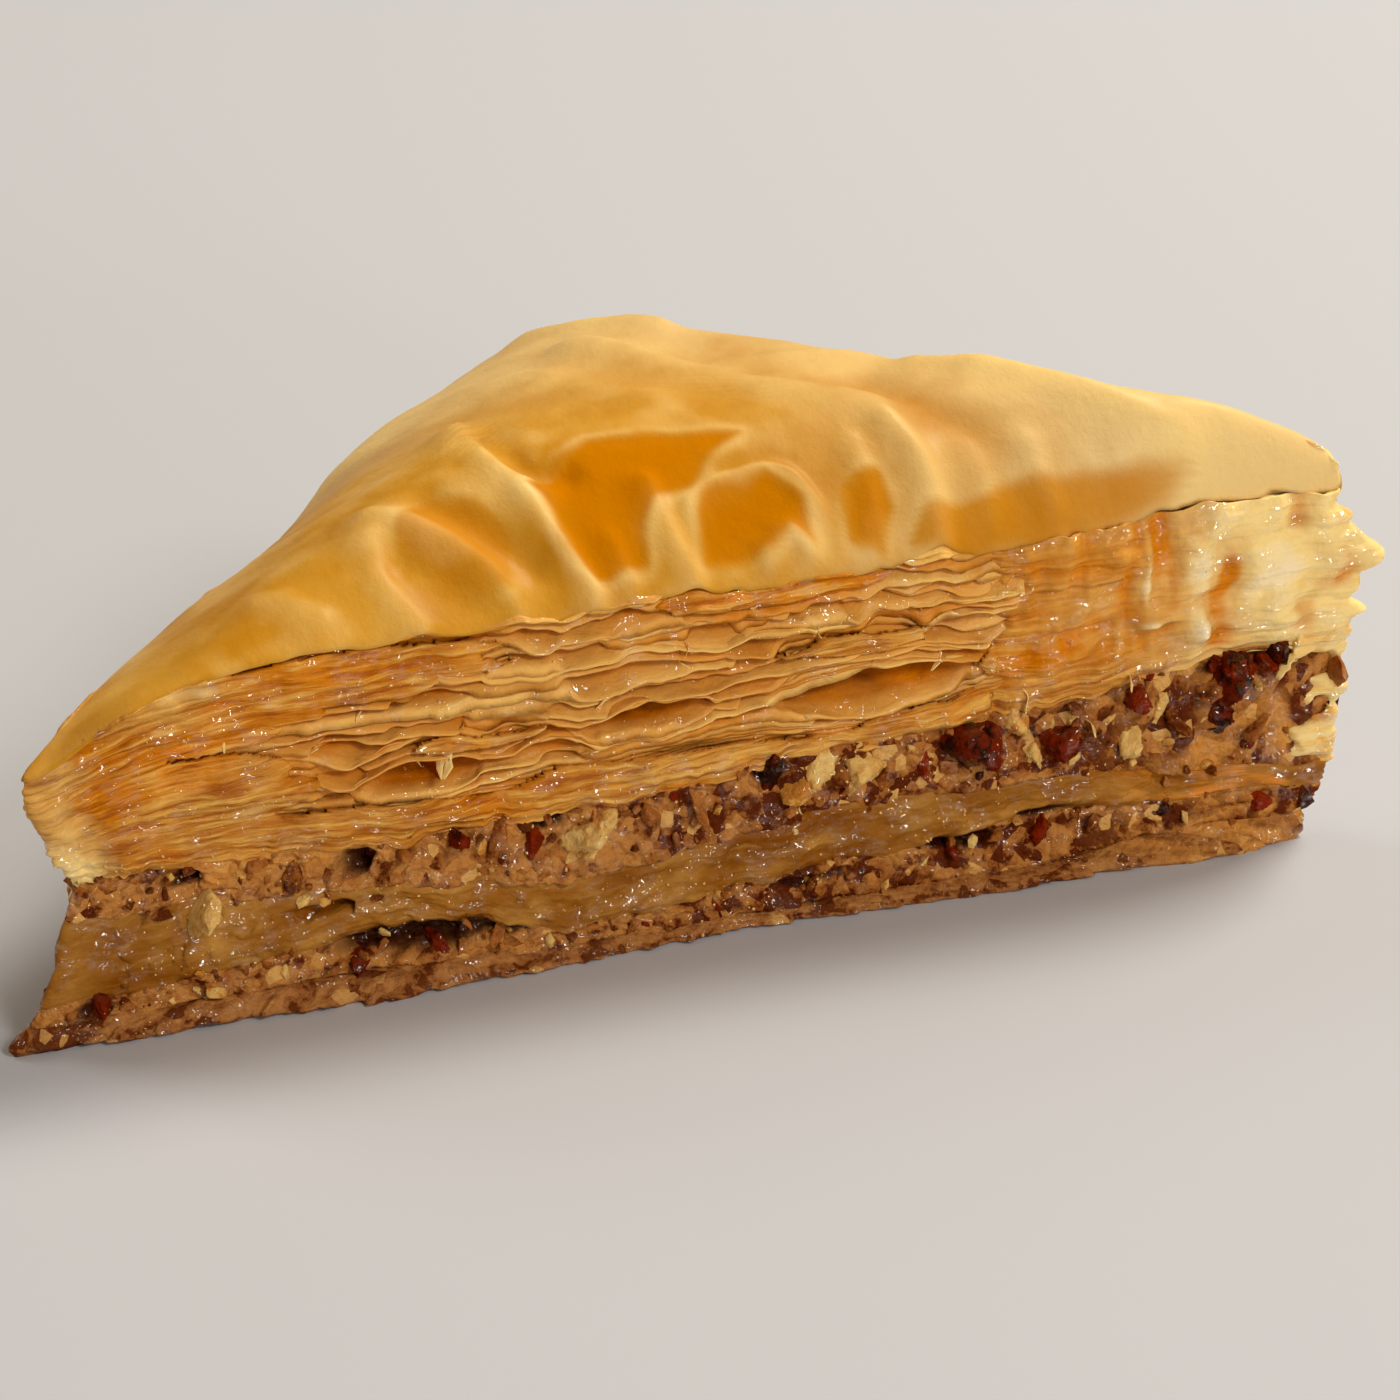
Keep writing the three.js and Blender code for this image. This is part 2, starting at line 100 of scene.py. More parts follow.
def noiseAt(points, size, seed):
    # smooth random values from -1 to 1, the same every run
    scaled = points / size + seed * 13.7
    cell = np.floor(scaled).astype(np.int64)
    part = scaled - cell
    part = part * part * (3 - 2 * part)
    total = np.zeros(len(points))
    for corner in range(8):
        offset = np.array([corner & 1, corner >> 1 & 1, corner >> 2 & 1])
        weight = np.prod(np.where(offset, part, 1 - part), axis=1)
        mixed = np.bitwise_xor.reduce((cell + offset) * scatter["primes"], axis=1)
        mixed = mixed ^ (seed * scatter["seedStep"])
        mixed = ((mixed ^ (mixed >> 13)) * scatter["spread"]) & 0xffffffff
        total += weight * (((mixed ^ (mixed >> 16)) & 0xffff) / 32767.5 - 1)
    return total


def layeredNoise(points, size, seed, steps=3):
    return sum(noiseAt(points, size / 2 ** k, seed + k) * 0.55 ** k for k in range(steps))


def awayFromCorner(along, reach, least=0.0):
    distance = np.min([np.abs(along - c) for c in cornerPlaces], axis=0)
    return np.maximum(ease(distance, 0, reach), least)


def outline(along):
    # the rounded triangle, walked from the left corner along the cut face
    along = along % perimeter
    xy = np.zeros((len(along), 2))
    for k in range(3):
        start, end = cornerPlaces[k], cornerPlaces[k + 1]
        on = (along >= start) & (along <= end)
        t = ((along[on] - start) / (end - start))[:, None]
        xy[on] = corners[k] * (1 - t) + corners[(k + 1) % 3] * t
    cut = piece["cornerRound"]
    for k in range(4):
        corner = corners[k % 3]
        before = corners[(k - 1) % 3] - corner
        after = corners[(k + 1) % 3] - corner
        p0 = corner + before / np.linalg.norm(before) * cut
        p2 = corner + after / np.linalg.norm(after) * cut
        near = np.abs(along - cornerPlaces[k]) < cut
        q = ((along[near] - cornerPlaces[k] + cut) / (2 * cut))[:, None]
        xy[near] = p0 * (1 - q) ** 2 + corner * 2 * q * (1 - q) + p2 * q ** 2
    return xy


def wallSpots(along, beside):
    # the places on the outline with a third value beside them, for noise that runs round the piece
    return np.column_stack([outline(along), beside + 0 * along])


def streakSpots(along, across):
    return np.column_stack([along, across, 0 * along])


def insideOutline(along, inset):
    return middle + (outline(along) - middle) * (1 - inset / inRadius)[:, None]


def outward(along, soften=2.5):
    # the direction straight out of the wall, turning smoothly round each corner
    run = outline(along + soften) - outline(along - soften)
    normal = np.column_stack([run[:, 1], -run[:, 0]])
    return normal / np.linalg.norm(normal, axis=1)[:, None]


def leaning(xy, z):
    # both sharp tips lean to the right with height
    left = stationValue(layers["leftLean"], z) * bell(xy[:, 0], -halfLength, piece["leanReach"])
    right = stationValue(layers["rightLean"], z) * bell(xy[:, 0], halfLength, piece["leanReach"])
    return np.column_stack([xy[:, 0] + left + right, xy[:, 1], z])


def toFrame(points):
    return (points + np.array([*piece["shift"], 0])) / 1000


# the crust's form: a dome that drops to its three edges, with folds

crust = {
    "peak": 33.8, "peakX": 3.9, "leftFall": 10.8, "leftRun": 52, "rightFall": 0.9, "rightRun": 44,
    "frontEdge": 25.4, "frontRise": 1.3, "frontRiseFrom": 18, "tipDrop": 4.6, "tipReach": 7,
    # narrow end, wide end and the length over which the shoulder widens
    "frontShoulder": (3.5, 14, 42),
    # height at the back corner, height at the tip, length between them and width of the drop
    "rightEdge": (23.6, 29.8, 30, 5.5), "leftEdge": (24.2, 21, 38, 20),
    "thickness": 0.3, "columns": 620, "tornDepth": 0.14, "foldShare": 0.72, "foldWidth": 1.2,
    "unevenness": 0.16, "unevenSize": 5.5,
    # the rim is ragged over rimReach, and its last two rings turn down
    "rimRagged": 0.24, "rimReach": 1.2, "rimTuck": (0.06, 0.2), "undersideSink": 3,
    # how pale it is toward each side, and how much less where it is torn; the paler right and back and the
    # darker left are partly the crust's own tone, partly painted light from the back-right
    "cream": {"right": 0.85, "back": 0.7, "left": 0.8, "torn": 1.2},
    # rings of points from the middle out over the top, then back in underneath
    "topInsets": [*np.linspace(inRadius, 12, 12, endpoint=False), *np.linspace(12, 0.32, 44, endpoint=False),
                  0.3, 0.08, -0.03],
    "bottomInsets": [0.05, 0.5, 2, 5, 9, 14, inRadius],
}

# height, widths of the soft and the steep side, and the points that each fold runs through
folds = [
    (0.65, 1.2, 0.8, [(-19, -16.5), (-19.2, -20), (-17.5, -23)]),
    (0.8, 1.3, 0.75, [(-18, -14), (-15, -17), (-12.2, -19.6), (-10.9, -22.5)]),
    (-0.8, 1.4, 1.2, [(-17, -18.8), (-14.5, -21), (-11.8, -22.5)]),
    (-1.1, 1.3, 1.1, [(-14, -14.3), (-11.6, -17.4), (-8.8, -20)]),
    (0.9, 1.2, 0.6, [(-9, -5), (-9.6, -10), (-9, -13.6), (-6.6, -15.9)]),
    (-0.9, 1.1, 0.8, [(-8.2, -8.5), (-7.4, -11.5), (-7, -13.8), (-4.5, -14.6)]),
    (0.95, 1.1, 0.7, [(-8, -16.3), (-7, -18.8), (-6.2, -20.6), (-5.3, -22.6)]),
    (0.5, 0.9, 0.6, [(-3.2, -19.8), (-2.6, -22.3)]),
    (0.85, 1.1, 0.7, [(0.6, -16.8), (0.8, -19.9), (1.9, -22.8)]),
    (0.7, 1.2, 0.5, [(3, -18.6), (5.6, -17.6), (10.4, -17.4), (11.6, -19.9)]),
    (0.9, 0.8, 0.8, [(7.4, -22), (9.2, -21), (10.3, -22)]),
    (0.55, 1.0, 0.6, [(15.6, -16.8), (15.9, -19.4), (15.2, -22.2)]),
    (1.15, 1.3, 0.8, [(18.6, -15.8), (20, -19.6), (19.6, -23)]),
    (0.5, 1.1, 0.8, [(23.4, -18.6), (23.8, -22)]),
    (0.6, 1.0, 0.7, [(27.6, -19.6), (28, -22)]),
    (0.5, 0.9, 0.7, [(38.2, -20.6), (38.8, -23)]),
    (0.9, 1.9, 1.1, [(3.6, 4.5), (6.3, -0.5), (10.1, -6.2), (13.8, -10), (18.6, -13.2)]),
    (0.5, 2.2, 1.2, [(-2, 2), (1, -4), (4, -8)]),
    (-1.15, 2.2, 1.6, [(19.6, -9.4), (21.5, -14.4), (23.6, -17.4)]),
    (0.9, 1.7, 0.7, [(24.6, -7.6), (28.6, -12.2), (33.3, -17.7), (37, -20.8)]),
    (1.4, 3.2, 3.2, [(29, -10.5), (40, -18.5)]),
    (1.5, 3.6, 3.6, [(-13, 9.5), (-9, 12)]),
    (-0.8, 3, 3, [(-21, 1.5), (-17, 4)]),
    (0.7, 3, 3, [(-34, -13), (-28, -7)]),
    (0.8, 1.8, 0.9, [(3, 14), (6, 10), (10, 6)]),
    (0.5, 1.5, 0.9, [(-27, -18), (-24, -21)]),
    (0.4, 1.8, 0.9, [(-24, -8), (-19, -10), (-15, -9)]),
    (0.4, 1.6, 0.7, [(12, -3), (18, -4), (24, -4)]),
]

# where the outermost sheet is torn or thin, so the amber sheet under it shows: how much of it is gone,
# how ragged its edge is, and its outline
tornPatches = [
    (1.0, 0.5, [
        (-7.3, -15.6), (-4.6, -13.9), (-1.8, -12.3), (1.9, -12.2), (8.5, -14), (5.4, -15.9),
        (3.4, -17.2), (0.4, -18.4), (-0.6, -19.9), (-1.4, -21.4), (-4.6, -22.2), (-6.1, -19.8),
        (-6.4, -17.6)]),
    (1.0, 0.4, [
        (3.2, -19.2), (4.1, -17.9), (8.9, -17.7), (10.6, -19.6), (10.9, -21.9), (9.3, -21), (7.6, -21.8),
        (2.8, -21.9)]),
    (0.85, 0.3, [(13.4, -21.8), (13.9, -19.3), (16.4, -18.8), (16.8, -20.6), (15.4, -22.6)]),
    (0.6, 0.45, [
        (17.4, -22.7), (19, -21.3), (25.2, -21.2), (31, -21.2), (38, -22.2), (36, -23.1), (28, -23.5),
        (20, -23.5)]),
    (0.5, 0.5, [
        (-17, -16), (-14.4, -14.2), (-11.2, -15.4), (-9.4, -18.6), (-10.8, -21.6), (-13.6, -21.2),
        (-16.4, -19.4)]),
]


def nearestOnPath(spots, path):
    # distance to a line of points, and the side it is on, from -1 on the right to 1 on the left
    best = np.full(len(spots), 1e9)
    side = np.zeros(len(spots))
    for start, end in zip(path[:-1], path[1:]):
        run = end - start
        t = np.clip((spots - start) @ run / (run @ run), 0, 1)
        gap = spots - (start + t[:, None] * run)
        distance = np.linalg.norm(gap, axis=1) + 1e-6
        lean = (run[0] * gap[:, 1] - run[1] * gap[:, 0]) / (np.linalg.norm(run) * distance)
        nearer = distance < best
        best[nearer] = distance[nearer]
        side[nearer] = lean[nearer]
    return best, side


def roundedPath(path, times=3):
    # the path with its bends rounded off
    points = np.array(path, float)
    for _ in range(times):
        first = points[:-1] * 0.75 + points[1:] * 0.25
        second = points[:-1] * 0.25 + points[1:] * 0.75
        inner = np.column_stack([first, second]).reshape(-1, 2)
        points = np.vstack([points[:1], inner, points[-1:]])
    return points


def foldHeight(xy):
    total = np.zeros(len(xy))
    for height, soft, steep, points in folds:
        path = roundedPath(points)
        reach = 2.6 * crust["foldWidth"] * max(soft, steep)
        near = np.all((xy > path.min(axis=0) - reach) & (xy < path.max(axis=0) + reach), axis=1)
        distance, side = nearestOnPath(xy[near], path)
        share = 0.5 + 0.5 * side
        total[near] += height * bell(distance, 0, crust["foldWidth"] * (soft * (1 - share) + steep * share))
    return crust["foldShare"] * total


def insidePatch(xy, patch):
    # about the distance inside a closed patch, negative outside
    closed = np.array(patch + patch[:1], float)
    edge, _ = nearestOnPath(xy, closed)
    inside = np.zeros(len(xy), bool)
    for (x0, y0), (x1, y1) in zip(closed[:-1], closed[1:]):
        crosses = (y0 > xy[:, 1]) != (y1 > xy[:, 1])
        x = x0 + (xy[:, 1] - y0) * (x1 - x0) / (y1 - y0 + 1e-9)
        inside ^= crosses & (xy[:, 0] < x)
    return np.where(inside, edge, -edge)


def edgeDrop(top, distance, toTip, shape):
    # how far the dome has come down toward one of its two back edges
    back, tip, run, width = shape
    fall = np.maximum(0, top - back - (tip - back) * ease(toTip, 0, run))
    return fall * np.clip(1 - distance / width, 0, 1) ** 2


def domeHeight(xy):
    x, y = xy[:, 0], xy[:, 1]
    u = x - crust["peakX"]
    left = crust["leftFall"] * (u / crust["leftRun"]) ** 2
    right = crust["rightFall"] * (u / crust["rightRun"]) ** 2
    dome = crust["peak"] - np.where(u < 0, left, right)
    toRight = (halfDepth - y - x) / math.sqrt(2)
    toLeft = (halfDepth - y + x) / math.sqrt(2)
    frontEdge = crust["frontEdge"] - crust["tipDrop"] * bell(x, -halfLength, crust["tipReach"])
    frontEdge += crust["frontRise"] * ease(x, crust["frontRiseFrom"], halfLength)
    narrow, wide, growsOver = crust["frontShoulder"]
    shoulder = narrow + (wide - narrow) * np.clip((halfLength - x) / growsOver, 0, 1)
    frontDrop = (dome - frontEdge) * np.clip(1 - (y + halfDepth) / shoulder, 0, 1) ** 2
    rightDrop = edgeDrop(dome, toRight, x, crust["rightEdge"])
    leftDrop = edgeDrop(dome, toLeft, -x, crust["leftEdge"])
    return dome - np.hypot(frontDrop, (rightDrop ** 4 + leftDrop ** 4) ** 0.25)


def crustRelief(xy):
    flat = np.column_stack([xy, np.zeros(len(xy))])
    return foldHeight(xy) + crust["unevenness"] * layeredNoise(flat, crust["unevenSize"], 3)


# building blocks: a primitive is added, and its points are moved to their places by column and row

def addShape(kind, name, **values):
    getattr(bpy.ops.mesh, "primitive_" + kind + "_add")(**values)
    obj = bpy.context.object
    obj.name = obj.data.name = name
    return obj


def pick(objects):
    bpy.ops.object.select_all(action="DESELECT")
    for obj in objects:
        obj.select_set(True)
    bpy.context.view_layer.objects.active = objects[0]


def columnPlaces(count, frontShare=0.56):
    # distances round the outline, closer together along the cut face
    front = int(count * frontShare)
    cutFace = np.linspace(0, piece["length"], front, endpoint=False)
    behind = np.linspace(piece["length"], perimeter, count - front, endpoint=False)
    return np.concatenate([cutFace, behind])


def readPoints(obj):
    co = np.empty(len(obj.data.vertices) * 3)
    obj.data.vertices.foreach_get("co", co)
    return co.reshape(-1, 3)


def movePoints(obj, points):
    obj.data.vertices.foreach_set("co", toFrame(points).ravel())
    obj.data.update()


def setAttributes(obj, **values):
    # one number per point for each name; the materials read them
    for name, value in values.items():
        layer = obj.data.attributes.new(name, "FLOAT", "POINT")
        layer.data.foreach_set("value", np.zeros(len(obj.data.vertices)) + value)


def setFlow(obj, along, up):
    # the place along and across the sheets, in millimetres, for patterns that follow them
    layer = obj.data.attributes.new("flow", "FLOAT_VECTOR", "POINT")
    layer.data.foreach_set("vector", streakSpots(along, up).ravel())


def addBall(name, columns, rings):
    # a closed ball; gives each point's distance round the outline and its ring, counted from the top
    obj = addShape("uv_sphere", name, segments=columns, ring_count=rings, radius=1)
    co = readPoints(obj)
    column = np.round(np.arctan2(co[:, 1], co[:, 0]) / (2 * math.pi) * columns).astype(int) % columns
    ring = np.round(np.arccos(np.clip(co[:, 2], -1, 1)) / math.pi * rings).astype(int)
    return obj, columnPlaces(columns)[column], ring


def applyModifier(obj, kind, **values):
    modifier = obj.modifiers.new(kind.lower(), kind)
    for name, value in values.items():
        setattr(modifier, name, value)
    bpy.ops.object.modifier_apply(modifier=modifier.name)


def removeWhere(obj, chosen):
    bpy.ops.object.mode_set(mode="EDIT")
    bpy.ops.mesh.select_mode(type="VERT")
    bpy.ops.mesh.select_all(action="DESELECT")
    bpy.ops.object.mode_set(mode="OBJECT")
    obj.data.vertices.foreach_set("select", chosen)
    bpy.ops.object.mode_set(mode="EDIT")
    bpy.ops.mesh.delete(type="VERT")
    bpy.ops.object.mode_set(mode="OBJECT")


def joinAs(name, objects):
    pick(objects)
    bpy.ops.object.join()
    joined = bpy.context.object
    joined.name = joined.data.name = name
    return joined


def finishPiece(obj, material, nodeNames=(), smoothAngle=None):
    pick([obj])
    if smoothAngle is None:
        bpy.ops.object.shade_smooth()
    else:
        bpy.ops.object.shade_smooth_by_angle(angle=math.radians(smoothAngle))
    obj.data.materials.clear()
    obj.data.materials.append(material)
    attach(obj, "root")
    if nodeNames:
        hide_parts(*nodeNames)


# materials: colours are red, green and blue from 0 to 255, sizes are in millimetres

plainSockets = {"Specular IOR Level": 0.1, "Coat IOR": 1.5, "Coat Roughness": 0.1, "Subsurface Scale": 0.001}
syrupFilm = {"wetFrom": 0.49, "wetTo": 0.57, "roughness": 0.05, "ior": 1.8}
crustLook = {
    "golden": ((196, 131, 6), (216, 158, 50)),
    # ridge is a painted highlight on fold ridges and round torn edges; hollow is painted shade in the fold
    # hollows
    "tints": {"cream": (238, 206, 144), "ridge": (250, 214, 138), "hollow": (196, 128, 18),
              "torn": (200, 120, 0)},
}
sheetLook = {
    # the first where the tone is low, the second where it is high
    "edge": ((254, 204, 112), (222, 132, 22)), "soaked": ((224, 162, 74), (220, 130, 0)),
    # inner is the deeper amber where the sheets lie further in: painted shade in the gaps between them
    "inner": ((214, 124, 0), (162, 86, 0)), "deeper": (176, 102, 18), "seams": (158, 74, 0),
    "cream": (255, 224, 150), "paleLines": (252, 200, 102), "white": (255, 234, 192),
}
soakedLook = {
    "pale": (194, 140, 62), "middle": (162, 102, 28), "deep": (134, 74, 0), "grain": 0.38,
    # dark is painted shade inside the hollows of the dents
    "tints": {"baked": (224, 140, 48), "dark": (62, 22, 8)},
}
# pale, deep and spot colours, roughness, subsurface and grain, which is the share of the colour and relief
# that comes from packed crumbs
nutLooks = {
    "basePastry": ((186, 126, 70), (150, 90, 44), (106, 50, 16), 0.4, 0.0, 0.6),
    "walnutPaste": ((198, 134, 68), (148, 82, 32), (98, 38, 8), 0.36, 0.2, 1.0),
    "walnutFlesh": ((246, 206, 130), (222, 166, 84), (196, 126, 48), 0.36, 0.2, 0.0),
    "walnutBrown": ((184, 116, 54), (142, 78, 30), (100, 44, 10), 0.36, 0.2, 0.0),
    "walnutSkin": ((136, 38, 2), (90, 22, 0), (42, 14, 4), 0.3, 0.1, 0.0),
}
nutFlecks = (226, 172, 98)
# dark is painted shade inside the hollows of the dents
nutTints = {"baked": (222, 152, 72), "dark": (50, 12, 2)}
# the beads' pale colour stands in for glints: painted highlights
syrupGlintLook = {"colour": (238, 186, 112), "roughness": 0.08, "coatRoughness": 0.03, "ior": 2.0}


def srgb(red, green, blue):
    values = [c / 255 for c in (red, green, blue)]
    return tuple(c / 12.92 if c <= 0.04045 else ((c + 0.055) / 1.055) ** 2.4 for c in values) + (1,)


def setSockets(tree, node, values):
    # each value is plain, or another node's output to link
    for key, value in values.items():
        if isinstance(value, bpy.types.NodeSocket):
            tree.links.new(value, node.inputs[key])
        else:
            node.inputs[key].default_value = value


def startMaterial(name, values):
    material = bpy.data.materials.new(name)
    material.use_nodes = True
    tree = material.node_tree
    shader = tree.nodes["Principled BSDF"]
    setSockets(tree, shader, {**plainSockets, **values})
    return material, tree, shader


def addNode(tree, kind, values, **settings):
    node = tree.nodes.new(kind)
    for name, value in settings.items():
        setattr(node, name, value)
    setSockets(tree, node, values)
    return node


def noiseOn(tree, place, stretch, values):
    mapping = addNode(tree, "ShaderNodeMapping", {"Vector": place, "Scale": stretch})
    return addNode(tree, "ShaderNodeTexNoise", {"Vector": mapping.outputs["Vector"], **values}).outputs["Fac"]


def noiseNode(tree, size, detail=4.0, roughness=0.6, stretch=(1, 1, 1)):
    place = addNode(tree, "ShaderNodeTexCoord", {}).outputs["Object"]
    return noiseOn(tree, place, stretch, {"Scale": 1000 / size, "Detail": detail, "Roughness": roughness})


def flowNoise(tree, long, wide, detail):
    # streaks that follow the sheets
    place = addNode(tree, "ShaderNodeAttribute", {}, attribute_name="flow").outputs["Vector"]
    values = {"Scale": 1, "Detail": detail, "Roughness": 0.6, "Distortion": 0.4}
    return noiseOn(tree, place, (1 / long, 1 / wide, 1), values)


def grainNode(tree, size):
    # packed grains; gives each grain's own random value and the height of its round top
    place = addNode(tree, "ShaderNodeTexCoord", {}).outputs["Object"]
    grains = addNode(tree, "ShaderNodeTexVoronoi", {"Vector": place, "Scale": 1000 / size})
    split = addNode(tree, "ShaderNodeSeparateColor", {"Color": grains.outputs["Color"]})
    return split.outputs["Red"], mathNode(tree, "SUBTRACT", 1.0, grains.outputs["Distance"])


def attributeNode(tree, name):
    return addNode(tree, "ShaderNodeAttribute", {}, attribute_name=name).outputs["Fac"]


def rangeNode(tree, value, low, high, outLow=0.0, outHigh=1.0):
    values = {"Value": value, "From Min": low, "From Max": high, "To Min": outLow, "To Max": outHigh}
    return addNode(tree, "ShaderNodeMapRange", values, clamp=True).outputs["Result"]


def mixColours(tree, factor, first, second):
    first, second = (srgb(*c) if isinstance(c, tuple) else c for c in (first, second))
    return addNode(tree, "ShaderNodeMix", {0: factor, 6: first, 7: second}, data_type="RGBA").outputs[2]


def tinted(tree, colour, tints):
    # lays each tint over the colour where the attribute of its name is high
    for name, tint in tints.items():
        colour = mixColours(tree, attributeNode(tree, name), colour, tint)
    return colour


def mathNode(tree, operation, first, second):
    return addNode(tree, "ShaderNodeMath", {0: first, 1: second}, operation=operation).outputs[0]


def addUp(tree, first, second, share=1.0):
    # the first plus a share of the second
    if share != 1:
        second = mathNode(tree, "MULTIPLY", second, share)
    return mathNode(tree, "ADD", first, second)


def addBump(tree, shader, height, strength, distance, socket="Normal"):
    values = {"Height": height, "Strength": strength, "Distance": distance / 1000}
    bump = addNode(tree, "ShaderNodeBump", values)
    tree.links.new(bump.outputs["Normal"], shader.inputs[socket])


def addSyrupFilm(tree, shader, size, dryWhere=None, ior=syrupFilm["ior"]):
    # syrup lies on it in patches, and its smooth ripples catch the light
    ripples = addUp(tree, noiseNode(tree, size, 0.6, 0.4), flowNoise(tree, 2.4, size * 0.8, 0.5))
    wet = rangeNode(tree, noiseNode(tree, size * 2.2, 3, 0.6), syrupFilm["wetFrom"], syrupFilm["wetTo"])
    if dryWhere is not None:
        wet = mathNode(tree, "MULTIPLY", wet, rangeNode(tree, dryWhere, 0.2, 0.7, 1, 0.1))
    addBump(tree, shader, ripples, 1.0, size, "Coat Normal")
    setSockets(tree, shader, {"Coat Weight": wet, "Coat Roughness": syrupFilm["roughness"], "Coat IOR": ior})


def makeCrustMaterial():
    material, tree, shader = startMaterial("bakedCrust", {"Coat Roughness": 0.3})
    patches = noiseNode(tree, 9, 3)
    fine = noiseNode(tree, 1.3, 5, 0.65)
    crepe = noiseNode(tree, 0.6, 3, 0.6, (1, 0.6, 1))
    golden = mixColours(tree, rangeNode(tree, patches, 0.35, 0.68), *crustLook["golden"])
    torn = attributeNode(tree, "torn")
    setSockets(tree, shader, {
        "Base Color": tinted(tree, golden, crustLook["tints"]),
        "Roughness": rangeNode(tree, fine, 0.3, 0.7, 0.5, 0.64),
        "Specular IOR Level": rangeNode(tree, torn, 0, 0.8, 0.1, 0.0),
        "Coat Weight": rangeNode(tree, torn, 0, 0.7, 0.08, 0.0)})
    addBump(tree, shader, addUp(tree, addUp(tree, fine, patches), crepe, 0.5), 0.3, 0.3)
    return material


def makeSheetMaterial():
    material, tree, shader = startMaterial("flakySheets", {})
    patches = noiseNode(tree, 5, 4)
    fine = noiseNode(tree, 0.9, 4, 0.6)
    lines = flowNoise(tree, 4.5, 0.5, 4)
    names = ("tone", "depth", "pressed", "lined")
    tone, depth, pressed, lined = (attributeNode(tree, name) for name in names)
    edge = mixColours(tree, tone, *sheetLook["edge"])
    # the edge colour turns to the inner one with depth: painted shade in the gaps between loose sheets
    inner = mixColours(tree, rangeNode(tree, patches, 0.35, 0.65), *sheetLook["inner"])
    loose = mixColours(tree, depth, edge, inner)
    soaked = mixColours(tree, tone, *sheetLook["soaked"])
    deeper = mixColours(tree, rangeNode(tree, patches, 0.42, 0.62, 0.0, 0.55), soaked, sheetLook["deeper"])
    body = mixColours(tree, pressed, loose, deeper)
    dark = mathNode(tree, "MULTIPLY", lined, rangeNode(tree, lines, 0.48, 0.36, 0.0, 0.75))
    pale = mathNode(tree, "MULTIPLY", lined, rangeNode(tree, lines, 0.52, 0.64, 0.0, 0.6))
    seams = mixColours(tree, dark, body, sheetLook["seams"])
    paler = tinted(tree, seams, {"cream": sheetLook["cream"]})
    edges = mixColours(tree, pale, paler, sheetLook["paleLines"])
    setSockets(tree, shader, {
        "Base Color": tinted(tree, edges, {"white": sheetLook["white"]}),
        "Roughness": rangeNode(tree, fine, 0.3, 0.7, 0.22, 0.42)})
    relief = addUp(tree, addUp(tree, fine, patches), mathNode(tree, "MULTIPLY", lines, lined), 2.0)
    addBump(tree, shader, relief, 0.6, 0.25)
    addSyrupFilm(tree, shader, 1.0, mathNode(tree, "SUBTRACT", depth, pressed))
    return material


def makeSoakedMaterial():
    material, tree, shader = startMaterial("soakedPastry", {})
    pale, deep, grain = soakedLook["pale"], soakedLook["deep"], soakedLook["grain"]
    patches = noiseNode(tree, 4.5, 4, 0.6, (1, 1, 2))
    fine = noiseNode(tree, 0.9, 5, 0.65, (1, 1, 1.5))
    lines = flowNoise(tree, 3.5, 0.7, 4)
    body = mixColours(tree, rangeNode(tree, patches, 0.4, 0.6), pale, soakedLook["middle"])
    toned = tinted(tree, body, {"tone": deep})
    seams = mixColours(tree, rangeNode(tree, lines, 0.47, 0.34, 0.0, grain), toned, deep)
    streaked = mixColours(tree, rangeNode(tree, lines, 0.53, 0.68, 0.0, grain), seams, pale)
    setSockets(tree, shader, {
        "Base Color": tinted(tree, streaked, soakedLook["tints"]),
        "Roughness": rangeNode(tree, fine, 0.3, 0.7, 0.18, 0.4)})
    addBump(tree, shader, addUp(tree, fine, lines, 2 * grain), 0.5, 0.25)
    addSyrupFilm(tree, shader, 0.8, attributeNode(tree, "dark"))
    return material


def makeNutMaterial(name):
    pale, deep, spots, roughness, subsurface, grain = nutLooks[name]
    material, tree, shader = startMaterial(name, {
        "Roughness": roughness, "Subsurface Weight": subsurface, "Subsurface Radius": (0.9, 0.5, 0.25),
        "Specular IOR Level": 0.05})
    patches = noiseNode(tree, 1.2, 4, 0.7)
    fine = noiseNode(tree, 0.4, 4, 0.6)
    crumbs, crumbTops = grainNode(tree, 1.0)
    _, smallTops = grainNode(tree, 0.5)
    mixed = addUp(tree, patches, attributeNode(tree, "tone"), 0.32)
    grainy = addUp(tree, mixed, mathNode(tree, "SUBTRACT", crumbs, 0.5), 0.45 * grain)
    body = mixColours(tree, rangeNode(tree, grainy, 0.46, 0.76), pale, deep)
    spotted = mixColours(tree, rangeNode(tree, grainy, 0.72, 0.8), body, spots)
    flecked = mixColours(tree, rangeNode(tree, crumbs, 0.06, 0.04, 0.0, grain), spotted, nutFlecks)
    setSockets(tree, shader, {"Base Color": tinted(tree, flecked, nutTints)})
    tops = addUp(tree, crumbTops, smallTops, 0.5)
    addBump(tree, shader, addUp(tree, addUp(tree, patches, fine), tops, 1.6 * grain), 0.7, 0.35)
    addSyrupFilm(tree, shader, 0.7, ior=1.6)
    return material


def makeSyrupGlintMaterial():
    material, _, _ = startMaterial("syrupGlints", {
        "Base Color": srgb(*syrupGlintLook["colour"]), "Roughness": syrupGlintLook["roughness"],
        "Specular IOR Level": 1.0, "Coat Weight": 1.0, "Coat Roughness": syrupGlintLook["coatRoughness"],
        "Coat IOR": syrupGlintLook["ior"]})
    return material


materials = {name: makeNutMaterial(name) for name in nutLooks}
materials["crust"] = makeCrustMaterial()
materials["sheets"] = makeSheetMaterial()
materials["soaked"] = makeSoakedMaterial()
materials["syrupGlints"] = makeSyrupGlintMaterial()
print("materials made")


# crust: one thin domed sheet, torn in places

